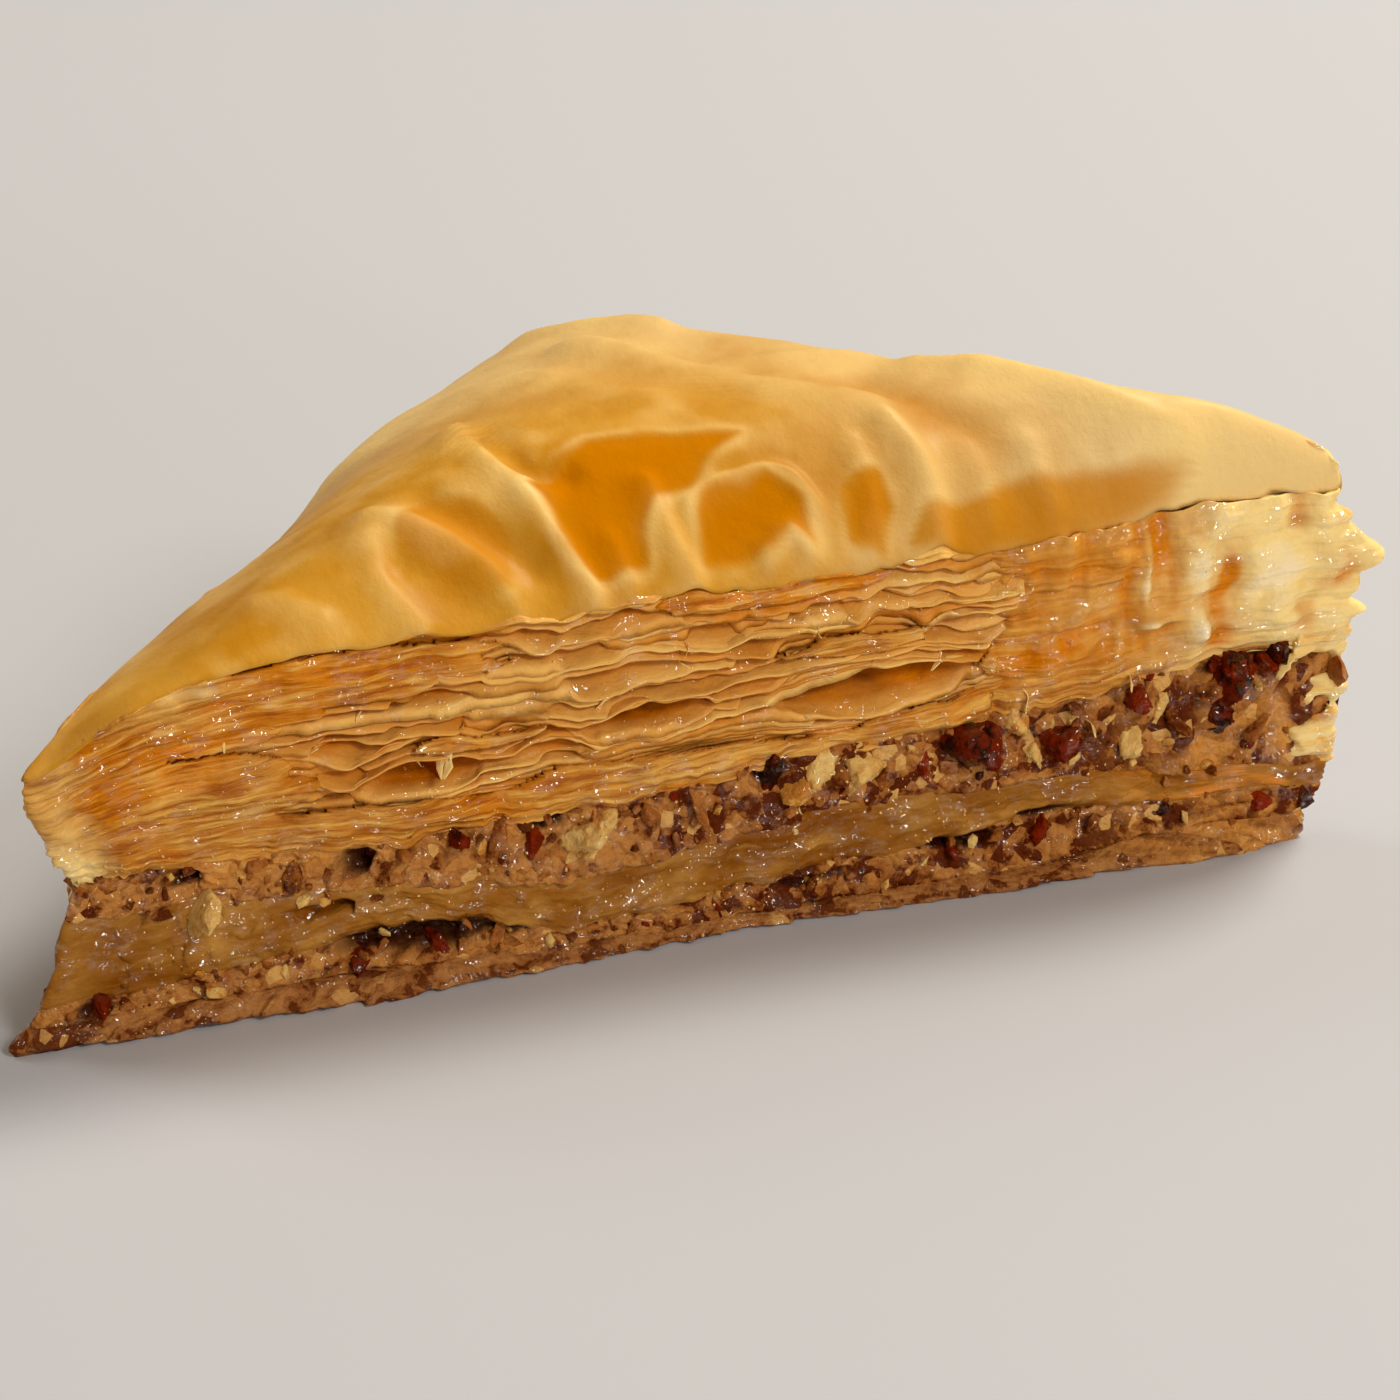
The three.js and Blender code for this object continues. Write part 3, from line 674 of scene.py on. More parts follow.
def makeCrust():
    insets = np.array(crust["topInsets"] + crust["bottomInsets"])
    lastTop = len(crust["topInsets"]) - 1
    obj, along, ring = addBall("crust", crust["columns"], len(insets) - 1)
    inset = insets[ring]
    nearRim = np.exp(-np.maximum(inset, 0) / crust["rimReach"])
    uneven = crust["rimRagged"] * layeredNoise(wallSpots(along, 0), 3.2, 11) + 0.06
    xy = insideOutline(along, inset + uneven * nearRim * awayFromCorner(along, 4))
    flat = np.column_stack([xy, np.zeros(len(xy))])
    ragged = np.column_stack([noiseAt(flat, 2, 21), noiseAt(flat, 2, 22)])
    torn, shown, rim = np.zeros((3, len(xy)))
    for share, raggedness, path in tornPatches:
        within = insidePatch(xy + raggedness * ragged, path)
        torn = np.maximum(torn, ease(share, 0.7, 0.8) * ease(within, -0.3, 0.4))
        shown = np.maximum(shown, share * (0.85 * ease(within, -0.45, 0.45) + 0.15 * ease(within, 0, 2)))
        rim = np.maximum(rim, share * bell(within, -0.5, 0.45))
    under = crust["thickness"] + crust["undersideSink"] * ease(inset, 0.6, 5)
    z = domeHeight(xy) + crustRelief(xy) + np.where(ring <= lastTop, -crust["tornDepth"] * torn, -under)
    z -= crust["rimTuck"][0] * (ring == lastTop - 1) + crust["rimTuck"][1] * (ring == lastTop)
    movePoints(obj, leaning(xy, z))
    # the relief also sets colours below: a painted highlight on fold ridges and round torn edges, painted
    # shade in the fold hollows
    relief = foldHeight(xy) + 0.5 * layeredNoise(flat, 4, 31)
    x, y, cream = xy[:, 0], xy[:, 1], crust["cream"]
    # paler toward the right and the back, darker on the left: partly the crust's own tone, partly painted
    # light from the back-right
    pale = cream["right"] * ease(x, 4, 36) + cream["back"] * ease(y, -12, 8)
    pale -= cream["left"] * ease(-x, 10, 30)
    setAttributes(obj, torn=shown, ridge=np.clip(relief * 0.6 + 0.3 * rim, 0, 0.9),
                  cream=np.clip(pale - cream["torn"] * shown, 0, 0.9), hollow=np.clip(-relief * 0.6, 0, 0.8))
    finishPiece(obj, materials["crust"])
    print("crust made")


# flaky stack: thin ragged sheets, pressed into one mass in places, with lens-shaped openings between them

stack = {
    "sheets": 29, "columns": 620, "insets": (inRadius, 6.5, 3.0, 1.1, 0.3, 0), "thin": 0.13, "thick": 1.4,
    # the distances between sheets, as shares of the height, are drawn from these
    "steps": (0.3, 0.4, 0.6, 1.3, 2.2), "underCrust": 0.14, "clearance": 0.012,
    # how far the edges of loose sheets wander, then the lumps of pressed ones and the right tip's teeth
    "rough": 0.36, "fineRough": 0.12, "bunchRough": 0.3, "notches": 0.9, "curl": 0.2,
    "lumps": 0.32, "teeth": 0.7,
}

# below this height the sheets are pressed together, at (distance round the outline, height)
pressedBelow = [
    (0, 17.5), (10, 16), (18, 14.2), (32, 13.5), (40, 14.4), (50, 14.2), (60, 14), (67, 15), (71, 19),
    (74, 27), (96, 27), (101, 16), (110, 14.5), (126, 15), (159, 14), (192, 14), (218, 16),
    (224.5, 17.5),
]
# pressed places higher up: distance, height, half length and half height
pressedPlaces = [
    (24, 23.4, 12, 1.9), (5, 20, 7, 7), (14, 21, 8, 1.7), (13, 23.2, 5, 2.2), (14, 16.5, 8, 3),
    (54, 25, 9, 1.1), (33, 17.6, 5, 0.7), (60, 20.2, 6, 0.8),
]
# distance, height, length, own height and depth
openings = [
    (28.3, 15.1, 8.8, 2.6, 4.5), (29, 19.9, 17, 0.9, 3), (42.8, 20.1, 10, 1.5, 3.5),
    (36, 21.9, 6, 1.0, 2.5), (44.8, 16.5, 9.5, 2.4, 3.5), (37.4, 15.9, 4.5, 0.8, 2.5),
    (61.8, 16.3, 15.5, 3.2, 4.5), (64.4, 22.9, 5, 0.9, 2), (68.6, 22.6, 4, 0.8, 2),
    (53, 16.2, 4, 0.7, 2), (36, 23.4, 5, 1.0, 1.6), (40.6, 21.9, 5.4, 1.1, 1.6),
    (44.6, 23.8, 6, 1.0, 1.6), (49.4, 22.2, 5, 1.0, 1.6), (53.6, 20.8, 6.4, 1.2, 1.8),
    (58.2, 22.2, 4.4, 0.9, 1.6), (62.8, 21.2, 5, 1.0, 1.6), (67.6, 20.2, 4.6, 1.1, 1.6),
    (34.6, 18.2, 6, 1.0, 1.8), (52, 18.2, 6, 1.0, 1.8), (23.6, 17.6, 5, 0.9, 1.6),
]
# the random ones on the two short sides: how far apart, and the least and most of each measure
randomOpenings = {"spacing": 3.4, "jitter": 1.5, "level": (0.15, 0.9), "length": (4, 11),
                  "height": (0.7, 2.0), "depth": (2, 3.5)}


def stackEnds(xy, along, inset):
    low = layerHeight("upperNutTop", along, inset) + 0.2
    return low, domeHeight(xy) - crust["thickness"] - stack["underCrust"]


def endsAt(along):
    place = np.array([float(along)])
    low, high = stackEnds(outline(place), place, np.zeros(1))
    return low[0], high[0]


def addRandomOpenings():
    # also works out each opening's level, from 0 at the foot of the stack to 1 at its top
    random = np.random.default_rng(piece["seed"])
    for along in np.arange(piece["length"] + 6, perimeter - 6, randomOpenings["spacing"]):
        along = along + random.uniform(-randomOpenings["jitter"], randomOpenings["jitter"])
        low, high = endsAt(along)
        up = low + (high - low) * random.uniform(*randomOpenings["level"])
        sizes = [random.uniform(*randomOpenings[name]) for name in ("length", "height", "depth")]
        openings.append((along, up, *sizes))
    for number, (along, up, length, height, depth) in enumerate(openings):
        low, high = endsAt(along)
        openings[number] = (along, up, length, height, depth, (up - low) / (high - low))


def stackHeight(xy, along, inset, level):
    low, high = stackEnds(xy, along, inset)
    tall = high - low
    bunches = np.column_stack([outline(along) / 12, tall * level / 3.2])
    finer = np.column_stack([outline(along) / 5, tall * level / 1.5])
    calm = 4 * level * (1 - level)
    z = low + tall * level + calm * (0.5 * noiseAt(bunches, 1, 41) + 0.2 * noiseAt(finer, 1, 42))
    if np.max(level) > 0.4:
        z += crustRelief(xy) * np.exp(-(1 - level) * tall / 2.6)
    for place, _, length, height, depth, at in openings:
        across = np.clip(1 - ((along - place) / (length / 2)) ** 2, 0, 1) ** 0.7
        off = (level - at) * tall
        push = np.where(off >= 0, 1, -1) * height / 2
        z += push * across * bell(np.maximum(inset, 0), 0, depth) * np.exp(-np.abs(off) / 2.0)
    return z


def pressedShare(along, z):
    share = 1 - ease(z - stationValue(pressedBelow, along), -0.6, 0.9)
    for place, up, halfLong, halfHigh in pressedPlaces:
        far = np.hypot((along - place) / halfLong, (z - up) / halfHigh)
        share = np.maximum(share, 1 - ease(far, 0.8, 1.15))
    return share


def openShare(along, z, extra):
    share = np.zeros(len(along))
    for place, up, length, height, _, _ in openings:
        far = ((along - place) / (length / 2 + 0.3)) ** 2 + ((z - up) / (height / 2 + extra)) ** 2
        share = np.maximum(share, 1 - ease(far, 0.7, 1.3))
    return share


def creamShare(along, z):
    # both sharp tips are paler, the left one near its foot
    right = ease(along, 80, 91) * (1 - ease(along, piece["length"] + 3, piece["length"] + 12))
    left = np.maximum(1 - ease(along, 1.5, 8), ease(along, perimeter - 7, perimeter - 1))
    return np.clip(right + left * (0.9 - 0.75 * ease(z, 12.5, 16)), 0, 1)


def placeSheet(number, level, along, inset, random):
    # where one sheet's points lie; back is how far its edge stands back from the cut face
    edge, group = wallSpots(along, number * 9.0), wallSpots(along, number / 4)
    tips = bell(along, piece["length"], 5)
    roughZ = stackHeight(outline(along), along, 0 * inset, level)
    fusing = noiseAt(streakSpots(along / 7, roughZ / 1.5), 1, 57)
    pressed = np.maximum(pressedShare(along, roughZ), 0.9 * ease(fusing, 0.1, 0.4))
    rough = stack["rough"] * layeredNoise(edge, 4.5, 51) + stack["fineRough"] * noiseAt(edge, 0.9, 61)
    rough += stack["bunchRough"] * noiseAt(group, 3.5, 55)
    rough += stack["notches"] * ease(noiseAt(edge, 5, 71), 0.4, 0.65)
    lumps = stack["lumps"] * layeredNoise(wallSpots(along, roughZ * 1.6), 3, 77)
    fused = 0.16 + lumps + 0.09 * noiseAt(edge, 3, 79) + 0.05 * noiseAt(edge, 0.8, 61)
    back = (rough + random.uniform(-0.15, 0.35)) * (1 - pressed) + fused * pressed
    back = back * awayFromCorner(along, 7, 0.45) + (0.5 + 0.5 * tips) * pressedShare(along, roughZ)
    nearEdge = np.exp(-inset / 1.6)
    teeth = stack["teeth"] * tips * noiseAt(group, 1.3, 75)
    xy = insideOutline(along, inset + teeth * nearEdge) - outward(along) * (back * nearEdge)[:, None]
    z = stackHeight(xy, along, inset + back * nearEdge, level)
    curl = stack["curl"] * (noiseAt(edge, 3.5, 81) + 0.5 * noiseAt(edge, 1.2, 82))
    z += curl * np.exp(-inset / 0.7) * (1 - pressed) - 3 * level ** 3 * ease(inset, 0.3, 4)
    tone = random.uniform(0.05, 0.6) + 0.35 * noiseAt(edge, 8, 91)
    tone += 0.8 * bell(along, 25, 9, 4) * ease(level, 0.78, 0.92)
    tone += 0.9 * bell(along, 54, 7) * bell(roughZ, 24, 1.6)
    return {"cream": creamShare(along, roughZ), "xy": xy, "z": z, "pressed": pressed, "back": back,
            "tone": np.clip(tone, 0, 1), "open": openShare(along, roughZ, 0.6)}


def makeStack():
    random = np.random.default_rng(piece["seed"] + 1)
    steps = np.cumsum(random.choice(stack["steps"], stack["sheets"]))[:-1]
    levels = np.concatenate([[0], steps / steps[-1]])
    insets = stack["insets"]
    rings = np.array([*insets, *insets[::-1]])
    first, along, ring = addBall("sheet", stack["columns"], len(rings) - 1)
    onTop = ring < len(insets)
    inset = rings[ring]
    sheets = [first]
    for _ in levels[1:]:
        sheets.append(first.copy())
        sheets[-1].data = first.data.copy()
        bpy.context.collection.objects.link(sheets[-1])
    placed = [placeSheet(number, level, along, inset, random) for number, level in enumerate(levels)]
    for number, (obj, sheet) in enumerate(zip(sheets, placed)):
        above = placed[min(number + 1, len(placed) - 1)]["z"]
        below = placed[max(number - 1, 0)]["z"]
        toNext = np.maximum(np.where(onTop, above - sheet["z"], sheet["z"] - below), stack["thin"])
        touching = np.minimum(toNext / 2 - stack["clearance"], stack["thick"] / 2)
        share = np.maximum(sheet["pressed"], inset > 1)
        half = stack["thin"] / 2 + (touching - stack["thin"] / 2) * share
        movePoints(obj, leaning(sheet["xy"], sheet["z"] + np.where(onTop, half, -half)))
        # shade is painted: further in and behind the edge the sheets turn darker amber, and their pale and
        # dark lines fade
        shade = np.clip((inset + 0.8 * np.maximum(sheet["back"], 0)) / 1.3, 0, 1)
        fused = sheet["pressed"] * (1 - sheet["open"])
        setAttributes(obj, depth=shade * (1 - 0.5 * fused), tone=sheet["tone"], pressed=fused,
                      cream=sheet["cream"], lined=0.4 * (1 - shade))
        setFlow(obj, along, number * 3.0 + inset)
    third = len(sheets) // 3
    finishPiece(joinAs("lowerSheets", sheets[:third]), materials["sheets"], ["top_pastry"])
    finishPiece(joinAs("middleSheets", sheets[third:2 * third]), materials["sheets"])
    finishPiece(joinAs("upperSheets", sheets[2 * third:]), materials["sheets"])
    print("flaky sheets made")


# the layers below: pastry soaked into one mass, and paste with walnut pieces

slab = {"innerInsets": (inRadius, 10, 4), "overlap": 0.12, "unevenness": 0.38}

# length, height and depth of the three sizes of steps that squashed sheets leave
stepSizes = ((11, 1.5, 0.11), (6, 0.8, 0.07), (3.5, 0.45, 0.035))

# hollows in them, painted dark inside as shade: distance, height, half length, half height and depth
dents = [
    (26.9, 3.3, 5.4, 1.0, 2.0), (69, 3.8, 3.2, 0.5, 1.2), (75.4, 4.9, 1.8, 0.4, 0.8),
    (23.1, 9.3, 1.2, 0.9, 1.8), (10.9, 10.6, 1.3, 0.5, 0.9), (4.8, 2.3, 1.3, 0.6, 0.5),
    (33.5, 2.9, 2.4, 0.35, 0.7), (54, 11.4, 1.4, 0.8, 0.8), (80.6, 13.6, 1.6, 0.7, 1.0),
    (88.8, 13.9, 2.2, 0.7, 0.4), (57, 2.6, 2.4, 0.3, 0.6), (37, 10.6, 1.6, 0.6, 0.6),
]


def makeSlab(name, lowName, highName, columns, wallRows, insetAt, material, node):
    inner = np.array(slab["innerInsets"])
    rings = len(inner) * 2 + wallRows
    obj, along, ring = addBall(name, columns, rings - 1)
    share = 1 - np.clip((ring - len(inner)) / (wallRows - 1), 0, 1)
    fromEnd = np.minimum(ring, rings - 1 - ring)
    onWall = fromEnd >= len(inner)
    edge = wallSpots(along, share * 5)
    wallInset, tone = insetAt(along, share, edge)
    low = roundStation(lowName, along) if lowName else 0 * along
    up = low + (roundStation(highName, along) - low) * share
    dark = 0 * along
    for at, middleUp, halfLong, halfHigh, deep in dents:
        across = bell(along, at, halfLong, 3) * bell(up, middleUp, halfHigh)
        wallInset = wallInset + deep * across
        dark = np.maximum(dark, across)
    inset = np.where(onWall, wallInset, inner[np.minimum(fromEnd, len(inner) - 1)])
    high = layerHeight(highName, along, inset)
    low = layerHeight(lowName, along, inset) if lowName else 0 * along
    z = high * share
    if lowName:
        uneven = slab["unevenness"] * layeredNoise(edge * (1, 1, 0), 2.4, 131)
        z = low - slab["overlap"] + uneven + (high - low + 2 * slab["overlap"]) * share
    movePoints(obj, leaning(insideOutline(along, inset), z))
    setFlow(obj, along, (high - low) * share + (20 if lowName else 0))
    rightEnd = ease(along, 76, 90) * (1 - ease(along, 96, 100))
    baked = rightEnd * (0.35 + 0.3 * (not lowName) + 1.2 * layeredNoise(edge, 2.2, 137))
    if name == "upperPaste":
        fused = bell(along, 23, 12, 4) * ease(up, 9, 10.4)
        baked = np.maximum(baked, fused * (0.75 + 0.8 * layeredNoise(edge, 2.6, 139)))
    # dark marks the dents, where the materials paint shade
    setAttributes(obj, tone=np.where(onWall, np.clip(tone, 0, 1), 0.5),
                  dark=np.where(onWall, 0.95 * ease(dark, 0.1, 0.6), 0), baked=np.clip(baked, 0, 0.9))
    finishPiece(obj, materials[material], [node])


def sheetSteps(along, across, seed):
    # low steps along wavy lines, left by the edges of sheets that were squashed together
    total = np.zeros(len(along))
    for k, (long, wide, height) in enumerate(stepSizes):
        spot = streakSpots(along / long, across / wide)
        total += height * np.tanh(layeredNoise(spot, 1, seed + 3 * k) / 0.12)
    return total


# each gives how far in the wall lies at a point and how dark it is; share is 0 at the foot and 1 at the top

def middleInset(along, share, edge):
    across = share * (roundStation("middleTop", along) - roundStation("lowerNutTop", along))
    steps = sheetSteps(along, across, 101)
    inset = 0.3 - 0.35 * steps + 0.36 * layeredNoise(edge, 2.4, 106, 4) + 0.12 * noiseAt(edge, 0.9, 109)
    lens = np.clip(1 - ((along - 20.7) / 2.6) ** 2, 0, 1) * bell(share, 0.62, 0.09)
    rounded = 0.3 * (np.abs(share - 0.5) * 2) ** 6
    # tone follows the relief: darker where the steps sink and in the lens recess, paler where they stand out:
    # painted shade
    tone = 0.4 - 0.5 * steps + 0.6 * layeredNoise(edge * (0.5, 0.5, 1), 3, 108)
    tone += 0.6 * bell(along, 54, 7) * bell(share, 0.8, 0.2)
    return (inset + 1.6 * lens + rounded) * awayFromCorner(along, 8, 0.3), tone + lens


def baseInset(along, share, edge):
    spread = roundStation("baseSpread", along) * (1 - 0.85 * share ** 1.5)
    steps = sheetSteps(along, share * 1.5, 111)
    inset = 0.15 - 0.15 * steps + 0.5 * layeredNoise(edge * (1, 1, 0.5), 1.8, 116, 4)
    inset += 0.3 * np.abs(noiseAt(edge * (1, 1, 0.4), 1.1, 118)) * (1 - ease(share, 0, 0.4))
    rounded = 0.5 * (1 - ease(share, 0, 0.25)) + 0.3 * ease(share, 0.75, 1)
    # tone follows the relief: darker where the steps sink, paler where they stand out: painted shade
    tone = 0.4 - 0.3 * steps + 0.8 * layeredNoise(edge, 2.2, 117) + 0.7 * (1 - ease(along, 3, 9))
    return (inset + rounded) * awayFromCorner(along, 6, 0.3) - spread, tone


def pasteInset(along, share, edge):
    rougher = 1 + 0.7 * ease(along, 72, 82) * (1 - ease(along, 94, 97))
    lumps = 0.3 * rougher * layeredNoise(edge, 2.4, 121, 4) + 0.32 * np.abs(noiseAt(edge, 0.9, 125)) + 0.3
    lumps += 0.14 * noiseAt(edge, 0.5, 127)
    tone = 0.9 * noiseAt(edge, 1.3, 123) - 0.1 + 0.9 * ease(along, 38, 50)
    return lumps * awayFromCorner(along, 8, 0.3), tone


def makeLayers():
    makeSlab("basePastry", None, "baseTop", 560, 16, baseInset, "basePastry", "bottom_pastry")
    makeSlab("lowerPaste", "baseTop", "lowerNutTop", 560, 14, pasteInset, "walnutPaste",
             "lower_walnut_filling")
    makeSlab("middlePastry", "lowerNutTop", "middleTop", 620, 54, middleInset, "soaked",
             "middle_pastry")
    makeSlab("upperPaste", "middleTop", "upperNutTop", 620, 34, pasteInset, "walnutPaste",
             "upper_walnut_filling")
    print("lower layers made")


# walnut pieces: a few broken lumps, copied at many sizes

nuts = {
    "shapes": 6, "crumbShapes": 3, "spacing": 2.2, "cutFaceSpacing": 1.6, "crumbs": 700, "smoothAngle": 50,
    "crumbSize": (0.18, 0.55), "breaks": 7, "voxel": 0.14, "grainSize": 0.22, "grainDepth": 0.24,
    # how deep the named pieces of each kind and the random ones sit, as a share of their size
    "sunk": {"cream": 0.08, "brown": 0.2, "skin": 0.2, "random": 0.4},
    # boundaries of the two walnut layers and the size of their pieces
    "bands": (("baseTop", "lowerNutTop", 1.1), ("middleTop", "upperNutTop", 1.7)),
    "pieces": {"cream": "walnutFlesh", "brown": "walnutBrown", "skin": "walnutSkin"},
    # distance along, height, size and kind of the pieces that show on the cut face
    "named": [
        (10.9, 10.7, 1.1, "skin"), (11.7, 8.1, 2.4, "cream"), (19, 9.7, 1.2, "brown"),
        (23.1, 9.3, 0.8, "skin"), (27, 9.8, 1.4, "brown"), (30.4, 10.4, 1.6, "skin"),
        (33.6, 10.3, 1.7, "brown"), (36.6, 9.2, 1.5, "skin"), (39.6, 8.8, 3.2, "cream"),
        (41.2, 9.0, 2.4, "cream"), (45.6, 9.3, 1.6, "brown"), (48.6, 9.9, 1.8, "brown"),
        (51.3, 9.6, 1.4, "brown"), (54, 11.2, 2.0, "skin"), (56.2, 10.2, 1.6, "cream"),
        (57.4, 10.7, 2.2, "cream"), (58.9, 10.2, 1.8, "brown"), (60.8, 10.0, 2.8, "cream"),
        (62.5, 9.6, 1.4, "brown"), (65.8, 10.4, 2.2, "skin"), (69, 10.8, 2.8, "skin"),
        (71.2, 11.0, 2.2, "skin"), (67.6, 9.4, 1.3, "brown"), (72.6, 12.3, 1.3, "cream"),
        (74.6, 9.3, 1.2, "cream"), (76.6, 10.4, 2.5, "skin"), (78.6, 12.4, 1.7, "brown"),
        (81.1, 9.5, 1.8, "cream"), (81.6, 12.1, 1.6, "skin"), (84.4, 9.6, 1.8, "brown"),
        (83.4, 11.6, 1.6, "cream"), (86.3, 12.2, 2.4, "brown"), (87.6, 9.6, 1.7, "skin"),
        (88.6, 13.4, 2.8, "skin"), (91.2, 13.4, 2.0, "skin"), (87.2, 14.1, 1.6, "skin"),
        (90, 14.2, 2.4, "skin"), (91.6, 14.7, 1.6, "skin"), (89.4, 12.4, 1.1, "cream"),
        (90.4, 9.2, 1.5, "brown"), (4.8, 2.3, 1.0, "skin"), (23.4, 2.3, 1.4, "skin"),
        (28.6, 2.3, 1.3, "skin"), (33.4, 2.6, 1.1, "brown"), (57, 2.4, 0.9, "brown"),
        (68.6, 3.1, 1.5, "skin"), (72.2, 3.4, 1.4, "brown"), (75.2, 3.4, 1.5, "skin"),
        (79.6, 3.2, 1.3, "brown"), (84, 3.2, 1.2, "skin"), (90.4, 3, 1.2, "skin"),
    ],
}


def makeLump(number, fine):
    # a ball broken along flat faces; the fine ones are roughened
    random = np.random.default_rng(200 + number)
    obj = addShape("ico_sphere", "lump", subdivisions=3 if fine else 2, radius=1)
    bpy.ops.object.mode_set(mode="EDIT")
    bpy.ops.transform.vertex_random(offset=0.08, uniform=0.4, seed=number + 1)
    for _ in range(nuts["breaks"]):
        normal = random.normal(size=3)
        normal = normal / np.linalg.norm(normal)
        bpy.ops.mesh.select_all(action="SELECT")
        bpy.ops.mesh.bisect(plane_co=tuple(normal * random.uniform(0.3, 0.7)), plane_no=tuple(normal),
                            use_fill=True, clear_outer=True)
    bpy.ops.object.mode_set(mode="OBJECT")
    if fine:
        applyModifier(obj, "REMESH", mode="VOXEL", voxel_size=nuts["voxel"])
        grain = bpy.data.textures.new("nutGrain", "CLOUDS")
        grain.noise_scale = nuts["grainSize"]
        applyModifier(obj, "DISPLACE", texture=grain, strength=nuts["grainDepth"], mid_level=0.5)
        bpy.data.textures.remove(grain)
    return obj


def makeCrumb(number):
    obj = addShape("ico_sphere", "crumb", subdivisions=1, radius=1)
    bpy.ops.object.mode_set(mode="EDIT")
    bpy.ops.transform.vertex_random(offset=0.35, uniform=0.5, seed=number + 31)
    bpy.ops.object.mode_set(mode="OBJECT")
    return obj


def turnMatrix(random):
    a, b, c = random.uniform(0, 2 * math.pi, 3)
    rx = np.array([[1, 0, 0], [0, math.cos(a), -math.sin(a)], [0, math.sin(a), math.cos(a)]])
    ry = np.array([[math.cos(b), 0, math.sin(b)], [0, 1, 0], [-math.sin(b), 0, math.cos(b)]])
    rz = np.array([[math.cos(c), -math.sin(c), 0], [math.sin(c), math.cos(c), 0], [0, 0, 1]])
    return rx @ ry @ rz


def copyShape(shape, place, size, stretch, random):
    obj = shape.copy()
    obj.location = (0, 0, 0)
    obj.data = shape.data.copy()
    bpy.context.collection.objects.link(obj)
    co = (readPoints(obj) * stretch) @ turnMatrix(random).T * size + place
    co[:, 2] += max(0, 0.04 - co[:, 2].min())  # none dips below the base
    movePoints(obj, co)
    setAttributes(obj, tone=random.uniform(0, 1))
    return obj


def nearFace(along, up, inset):
    xy = insideOutline(np.array([along]), np.array([inset]))
    return leaning(xy, np.array([up]))[0]


def surfaceAt(depsgraph, along, up, inward, outside=4.0, inside=3.0):
    # the point where a level line from outside meets the cut face, moved inward
    start = toFrame(nearFace(float(along), up, -outside))
    way = Vector(toFrame(nearFace(float(along), up, inside)) - start)
    hit = bpy.context.scene.ray_cast(depsgraph, Vector(start), way, distance=way.length)
    if not hit[0]:
        return None
    return (np.array(hit[1] + way.normalized() * inward / 1000) * 1000) - np.array([*piece["shift"], 0])


def bandHeights(band, along):
    return [roundStation(name, np.array([along]))[0] for name in band[:2]]


def chooseNuts(random):
    # the named pieces, then random ones on the short sides, then small ones on the cut face
    wanted = list(nuts["named"])
    for along in np.arange(piece["length"] + 3, perimeter - 3, nuts["spacing"]):
        for band in nuts["bands"]:
            low, high = bandHeights(band, along)
            kind = random.choice(["cream", "brown", "brown", "skin"])
            wanted.append((along + random.uniform(-1, 1), low + (high - low) * random.uniform(0.3, 0.7),
                           band[2] * random.uniform(0.7, 1.3), kind))
    for along in np.arange(2, piece["length"] - 1, nuts["cutFaceSpacing"]):
        low, high = bandHeights(nuts["bands"][random.choice([0, 1, 1])], along)
        choices = ["cream", "brown", "brown", "brown", "skin"] if along > 36 else ["cream", "brown"]
        wanted.append((along, random.uniform(low + 0.3, high - 0.2), random.uniform(0.4, 1.0),
                       random.choice(choices)))
    return wanted


def makeNuts():
    random = np.random.default_rng(piece["seed"] + 2)
    shapes = [makeLump(number, True) for number in range(nuts["shapes"])]
    plain = [makeLump(number, False) for number in range(nuts["shapes"])]
    crumbs = [makeCrumb(number) for number in range(nuts["crumbShapes"])]
    kinds = {"cream": [], "brown": [], "skin": []}
    wanted = chooseNuts(random)
    depsgraph = bpy.context.evaluated_depsgraph_get()
    spots = []
    for number, (along, up, size, kind) in enumerate(wanted):
        sunk = nuts["sunk"][kind if number < len(nuts["named"]) else "random"]
        spots.append(surfaceAt(depsgraph, along, up, sunk * size))
    for number, (spot, (_, _, size, kind)) in enumerate(zip(spots, wanted)):
        stretch = random.uniform((1.0, 0.6, 0.5), (1.3, 1.0, 0.8))
        shape = (shapes if number < len(nuts["named"]) else plain)[random.integers(len(shapes))]
        if spot is not None:
            kinds[kind].append(copyShape(shape, spot, size, stretch, random))
    for _ in range(nuts["crumbs"]):
        along = random.uniform(1, perimeter)
        low, high = bandHeights(nuts["bands"][random.choice([0, 1, 1])], along)
        size = random.uniform(*nuts["crumbSize"])
        kind = random.choice(["cream", *["brown"] * 6, "skin"])
        if kind == "skin" and along < 40:
            kind = "brown"
        stretch = random.uniform((1.0, 0.6, 0.5), (1.5, 1.0, 0.9))
        spot = nearFace(along, random.uniform(low - 0.7, high + 0.5), random.uniform(0.25, 0.85))
        kinds[kind].append(copyShape(crumbs[random.integers(len(crumbs))], spot, size, stretch, random))
    angle = nuts["smoothAngle"]
    for kind, name in nuts["pieces"].items():
        finishPiece(joinAs(name, kinds[kind]), materials[name], smoothAngle=angle)
    for shape in shapes + plain + crumbs:
        bpy.data.objects.remove(shape)
    print("walnut pieces made")


# syrup: tiny glossy beads in clusters on the cut faces, most of them on the walnut and on the sheets' edges;
# their pale colour is painted glints

drops = {
    "count": 1500, "least": 0.05, "most": 0.17, "cluster": 9, "spreadAlong": 2.2, "spreadUp": 0.7,
    # clusters sit at these heights, where each whole number is a layer's boundary
    "levels": [0.3, 0.8, 1.3, 1.8, 2.2, 2.5, 2.8, 3.1, 3.3, 3.6, 3.8],
}


